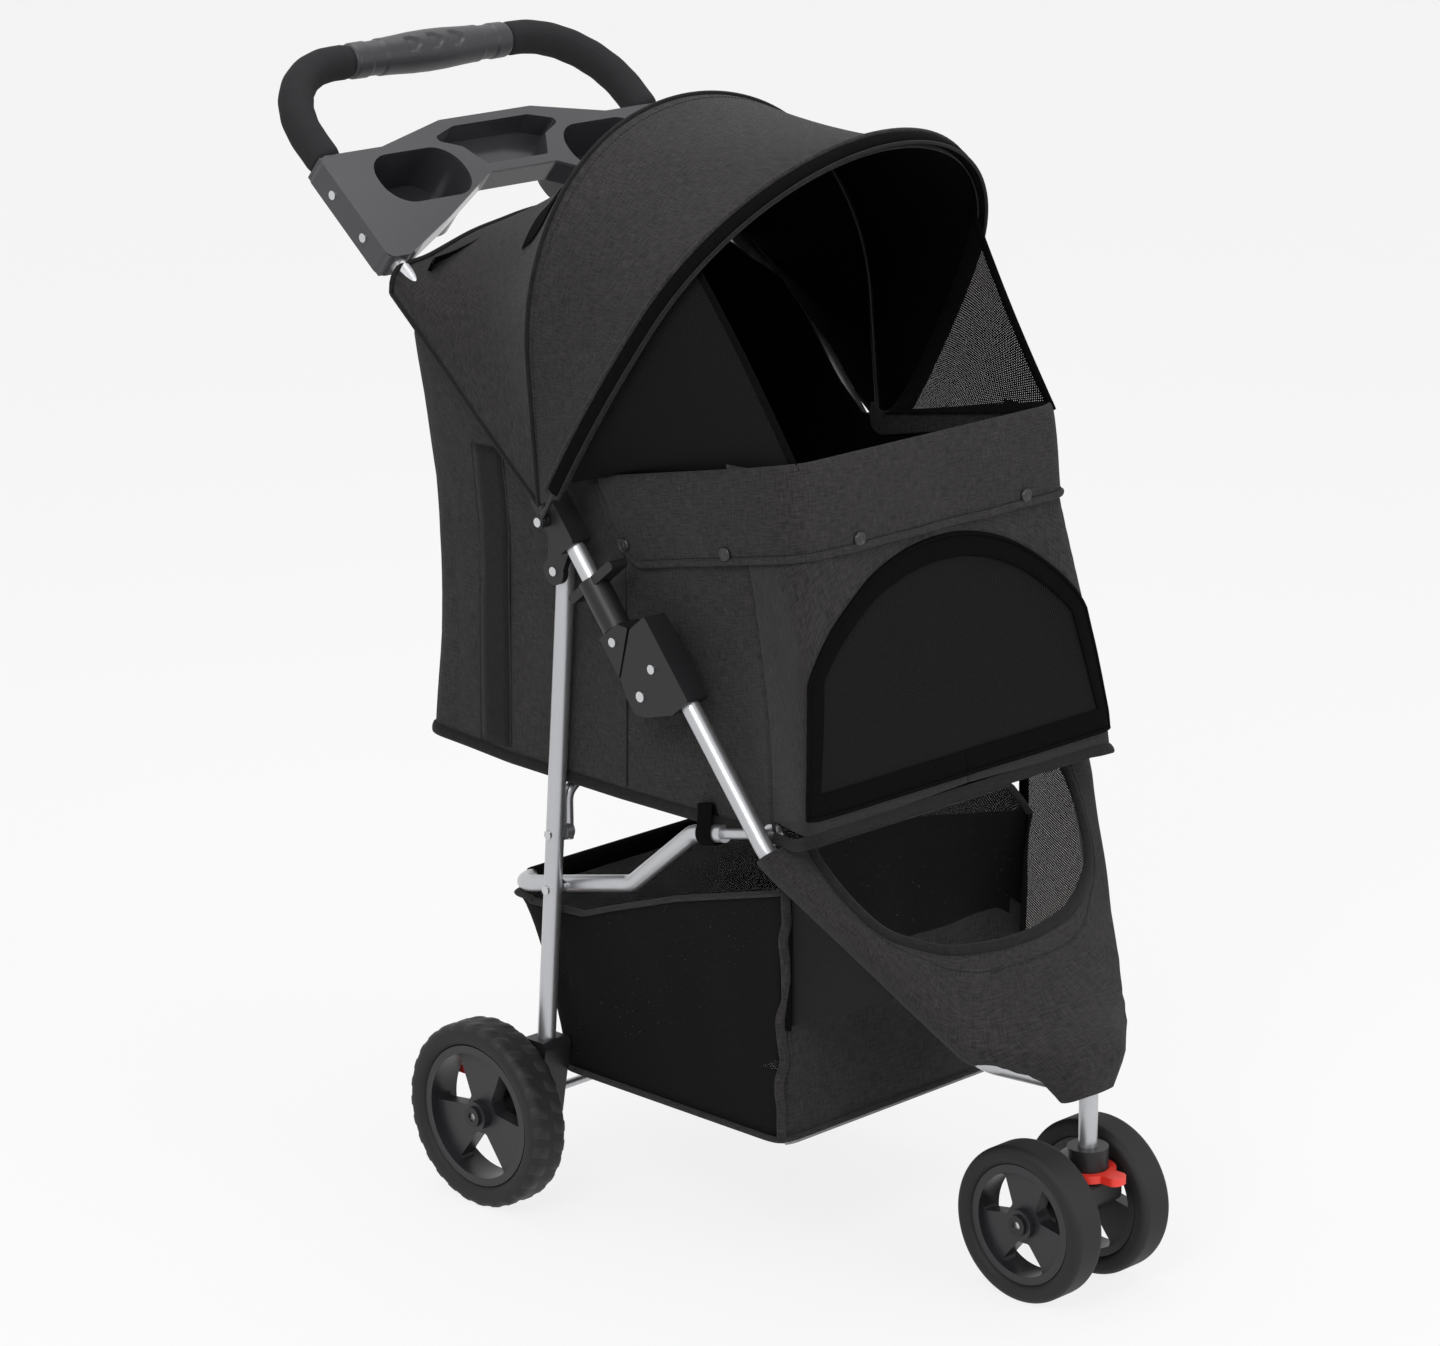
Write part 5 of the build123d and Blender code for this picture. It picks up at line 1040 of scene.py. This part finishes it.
basket_beads = [
    closed_tape("basket_rim_binding", np.array(basket_rows[0]), 4.2, 0.6, (0.2, 0.2, 1)),
    closed_tape("basket_base_binding", low_ring, 3.4, 0.8),
]
for label, side in both_sides:
    edge = []
    for row in basket_rows[:wall_steps]:
        edge.append(min(row, key=lambda place: np.hypot(place[0] - side * basket_half, place[1] - basket_front)))
    edge = np.array(edge) + np.array([side * 1.6, -1.4, 0])
    edge[:, 1] += 1.2 * np.sin(np.arange(wall_steps) * 0.9)
    tape_name, tape_up = "basket_corner_binding_" + label, (side * 0.7, -0.7, 0)
    basket_beads.append(bead(tape_name, eased(edge, 3), 4.2, charcoal_linen, 10, 0.55, tape_up))
rear_run = np.linspace((-128.0, 150.0, 273.0), (128.0, 150.0, 273.0), 33)
basket_beads.append(bead("basket_rear_sleeve", rear_run, 9.2, black_lining, 16))
pale_edge = woven("pale edge tape", (112, 112, 112), (150, 150, 150), depth=0.0001)
front_foot = np.array([place for place in low_ring if place[1] < -170 and abs(place[0]) < 152])
front_foot = front_foot[np.argsort(front_foot[:, 0])] + np.array([0, -2.6, -2.2])
basket_beads.append(bead("basket_front_foot", front_foot, 1.3, pale_edge, 8))
for cloth in (basket, *basket_beads):
    fitted(cloth, "basket_rail")
    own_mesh(cloth)
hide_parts("basket")

# Rail loops: short black tapes sewn under the cabin, each passed once round the end of the basket rail.
# They let the rail turn and slide in them as the stroller folds.
loop_radius, loop_half, loop_open = 9.1, 9.5, 0.75
loop_turns = np.linspace(loop_open, 2 * math.pi - loop_open, 26)
loop_path = [(0.9, 26.0), (2.6, 17.0)]
loop_path += [(loop_radius * math.sin(a), loop_radius * math.cos(a)) for a in loop_turns]
loop_path += [(-2.6, 17.0), (-0.9, 26.0)]
loop_path = spaced(eased(loop_path, 6), count=70)
for label, side in both_sides:
    spot, way = np.array([side * 165.8, -109.2, 379.1]), np.array([side * 8.0, -101.0, 23.0])
    way /= np.linalg.norm(way)
    sideways = np.cross(way, (0, 0, 1))
    sideways /= np.linalg.norm(sideways)
    lift = np.cross(sideways, way)
    loop_rows = []
    for t in np.linspace(1, -1, 9):
        pinch = 1 - 0.1 * t**2
        loop_rows.append([spot + way * loop_half * t + sideways * a * pinch + lift * b for a, b in loop_path])
    loop = made_cloth(skin("rail_loop_" + label, loop_rows, black_lining), 1.0, 1)
    fitted(loop, "basket_rail")
    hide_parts("rail_loops")

# Apron: a linen pouch pulled up over both front tubes to the nose, bound round its deep U opening.
# Its side edges turn round the tubes and are stitched behind them.
tube_slope = math.radians(51)
along_y, along_z = math.cos(tube_slope), math.sin(tube_slope)
hinge_y, hinge_z, tube_out, wrap_radius, drop_share = -66.77, 497.06, 35, 12.0, 0.6
half_marks = [0, 160, 175, 190, 380, 393, 406, 418, 424, 456]
half_sizes = [192, 192, 190.5, 184.4, 88.5, 79.0, 57.7, 38.0, 31.0, 9.0]
level_marks, levels = [0, 385, 400, 412, 428, 441, 455], [tube_out, tube_out, 45, 59, 67, 59, 46]


def by_tube(x, along, across):
    """A place by its distance across, along the front tubes from the hinge, and square to them."""
    return np.array([x, hinge_y + along * along_y - across * along_z, hinge_z + along * along_z + across * along_y])


def tube_half(along):
    """Half the distance between the middles of the front tubes, and of the nose below them."""
    return float(np.interp(-along, half_marks, half_sizes))


def tube_level(along):
    """How far out, square to the tubes, the cloth's edge turns: on the tubes, then over the nose."""
    return float(np.interp(-along, level_marks, levels))


def on_apron(reach, along):
    """A place on the apron: a distance from the middle, over the tube's crest, down its side and behind it."""
    half, level, side = tube_half(along), tube_level(along), 1 if reach >= 0 else -1
    beyond = abs(reach) - half
    if beyond <= 0:
        fill = float(np.interp(-along, [172, 300, 400, 425, 456], [6.0, 11.0, 11.0, 1.0, 0.5]))
        return by_tube(reach, along, level + wrap_radius + fill * (1 - (reach / half) ** 2))
    quarter, drop = wrap_radius * math.pi / 2, drop_share * (level - tube_out)
    straight = min(max(0.0, beyond - quarter), drop)
    turn = (beyond - straight) / wrap_radius
    x = side * (half + wrap_radius * math.sin(turn))
    return by_tube(x, along, level - straight + wrap_radius * math.cos(turn))


def full_reach(along):
    """The cloth's width from the middle to its sewn edge behind the tube."""
    wrap = float(np.interp(-along, [300, 345, 425, 445], [2.5, 4.8, 4.8, 2.6]))
    return tube_half(along) + drop_share * (tube_level(along) - tube_out) + wrap_radius * wrap


u_half = [(158, -170), (157, -194), (148, -228), (131, -262), (109, -281), (75, -299), (30, -308)]
u_edge = eased([(-x, along) for x, along in u_half] + [(0, -309.5)] + u_half[::-1], 8)
u_edge = spaced(u_edge, count=121)
apron_top, toe_along, toe_round = -172, -440, 15
side_run = np.linspace(apron_top, toe_along, 50)
outer_edge = [(-full_reach(along), along) for along in side_run]
for across in np.linspace(-1, 1, 21):
    outer_edge.append((across * full_reach(toe_along), toe_along - toe_round * (1 - across**2)))
outer_edge += [(full_reach(along), along) for along in side_run[::-1]]
square_out = np.array([0, -along_z, along_y])
apron_rows = []
for t in np.linspace(0, 1, 19):
    row = []
    for inner, outer in zip(u_edge, outer_edge):
        share = t**0.9
        along = inner[1] + (outer[1] - inner[1]) * share
        at, to = inner[0] / full_reach(inner[1]), outer[0] / full_reach(outer[1])
        place = on_apron((at + (to - at) * share) * full_reach(along), along)
        ripple = 0.8 * math.sin(inner[0] / 19 + along / 23) * math.sin(math.pi * t)
        row.append(place + ripple * square_out)
    apron_rows.append(row)
apron = made_cloth(skin("apron_pouch", apron_rows[::-1], charcoal_linen), 1.2, 0, black_lining)
apron_binding = bead("apron_binding", apron_rows[0], 5.0, binding_tape, 10, 0.5, square_out)
apron_stitch = stitches("apron_stitch", np.array(apron_rows[2]) + np.array([0, -0.5, 0.4]))
apron_trim = [apron_binding, apron_stitch]
for cloth in (apron, *apron_trim):
    fitted(cloth, "front_frame")
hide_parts("apron")

# Nose plug: a rounded black nylon moulding in the toe of the pouch.
# Both front tubes are pressed into it, and the caster's stem stands up through it.
nose_paint = moulded("nose plug plastic", (18, 18, 19), (30, 30, 31), 0.45)
nose_sides, nose_y, nose_wide, nose_long, nose_round = 40, -371, 27, 23, 0.6
nose_levels = ((183.2, -5), (182.4, -2.5), (184.5, 0), (194, 0.6), (206, 0), (212, -1.5), (215, -5), (215.6, -9))
nose_rows = [[(0, nose_y, 183.0)] * nose_sides]
for z, grow in nose_levels:
    ring = []
    for turn in np.linspace(0, 2 * math.pi, nose_sides, endpoint=False):
        x, y = (abs(c) ** nose_round * np.sign(c) for c in (math.cos(turn), math.sin(turn)))
        ring.append(((nose_wide + grow) * x, nose_y + (nose_long + grow) * y, z))
    nose_rows.append(ring)
nose_rows.append([(0, nose_y, 215.6)] * nose_sides)
nose_plug = skin("nose_plug", nose_rows, nose_paint, ring=True)
fitted(nose_plug, "front_frame")
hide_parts("nose_block")

# Side nets: a net patch that closes each side between the apron's tube and the basket's front corner.
# Its free edge is bound with a broad black tape, and it folds flat against the tubes.
side_patch_net = netted("side patch net", (10, 10, 10), (40, 40, 40), 0.92, 0.0024)
for label, side in both_sides:
    rows = []
    for t in np.linspace(0, 1.12, 13):
        along = -166 - 136 * t
        corner = np.array((side * 146.0, -178.0 + t, 377.0 - 141.0 * t))
        rows.append(hung_between(corner, by_tube(side * (tube_half(along) - 2), along, 33), -side * 4.0, 10))
    free_edge = np.array([row[0] for row in rows]) + np.array([side * 2.0, -3.0, 0])
    rows = [row[::side] for row in rows]
    side_net = skin("apron_side_net_" + label, rows, side_patch_net)
    tape = bead("side_net_binding_" + label, free_edge, 5.5, black_lining, 10, 0.45, (side, 0, 0))
    for cloth, slot_name in ((side_net, "black_mesh"), (tape, "charcoal_fabric")):
        fitted(cloth, "front_frame")
        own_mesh(cloth)
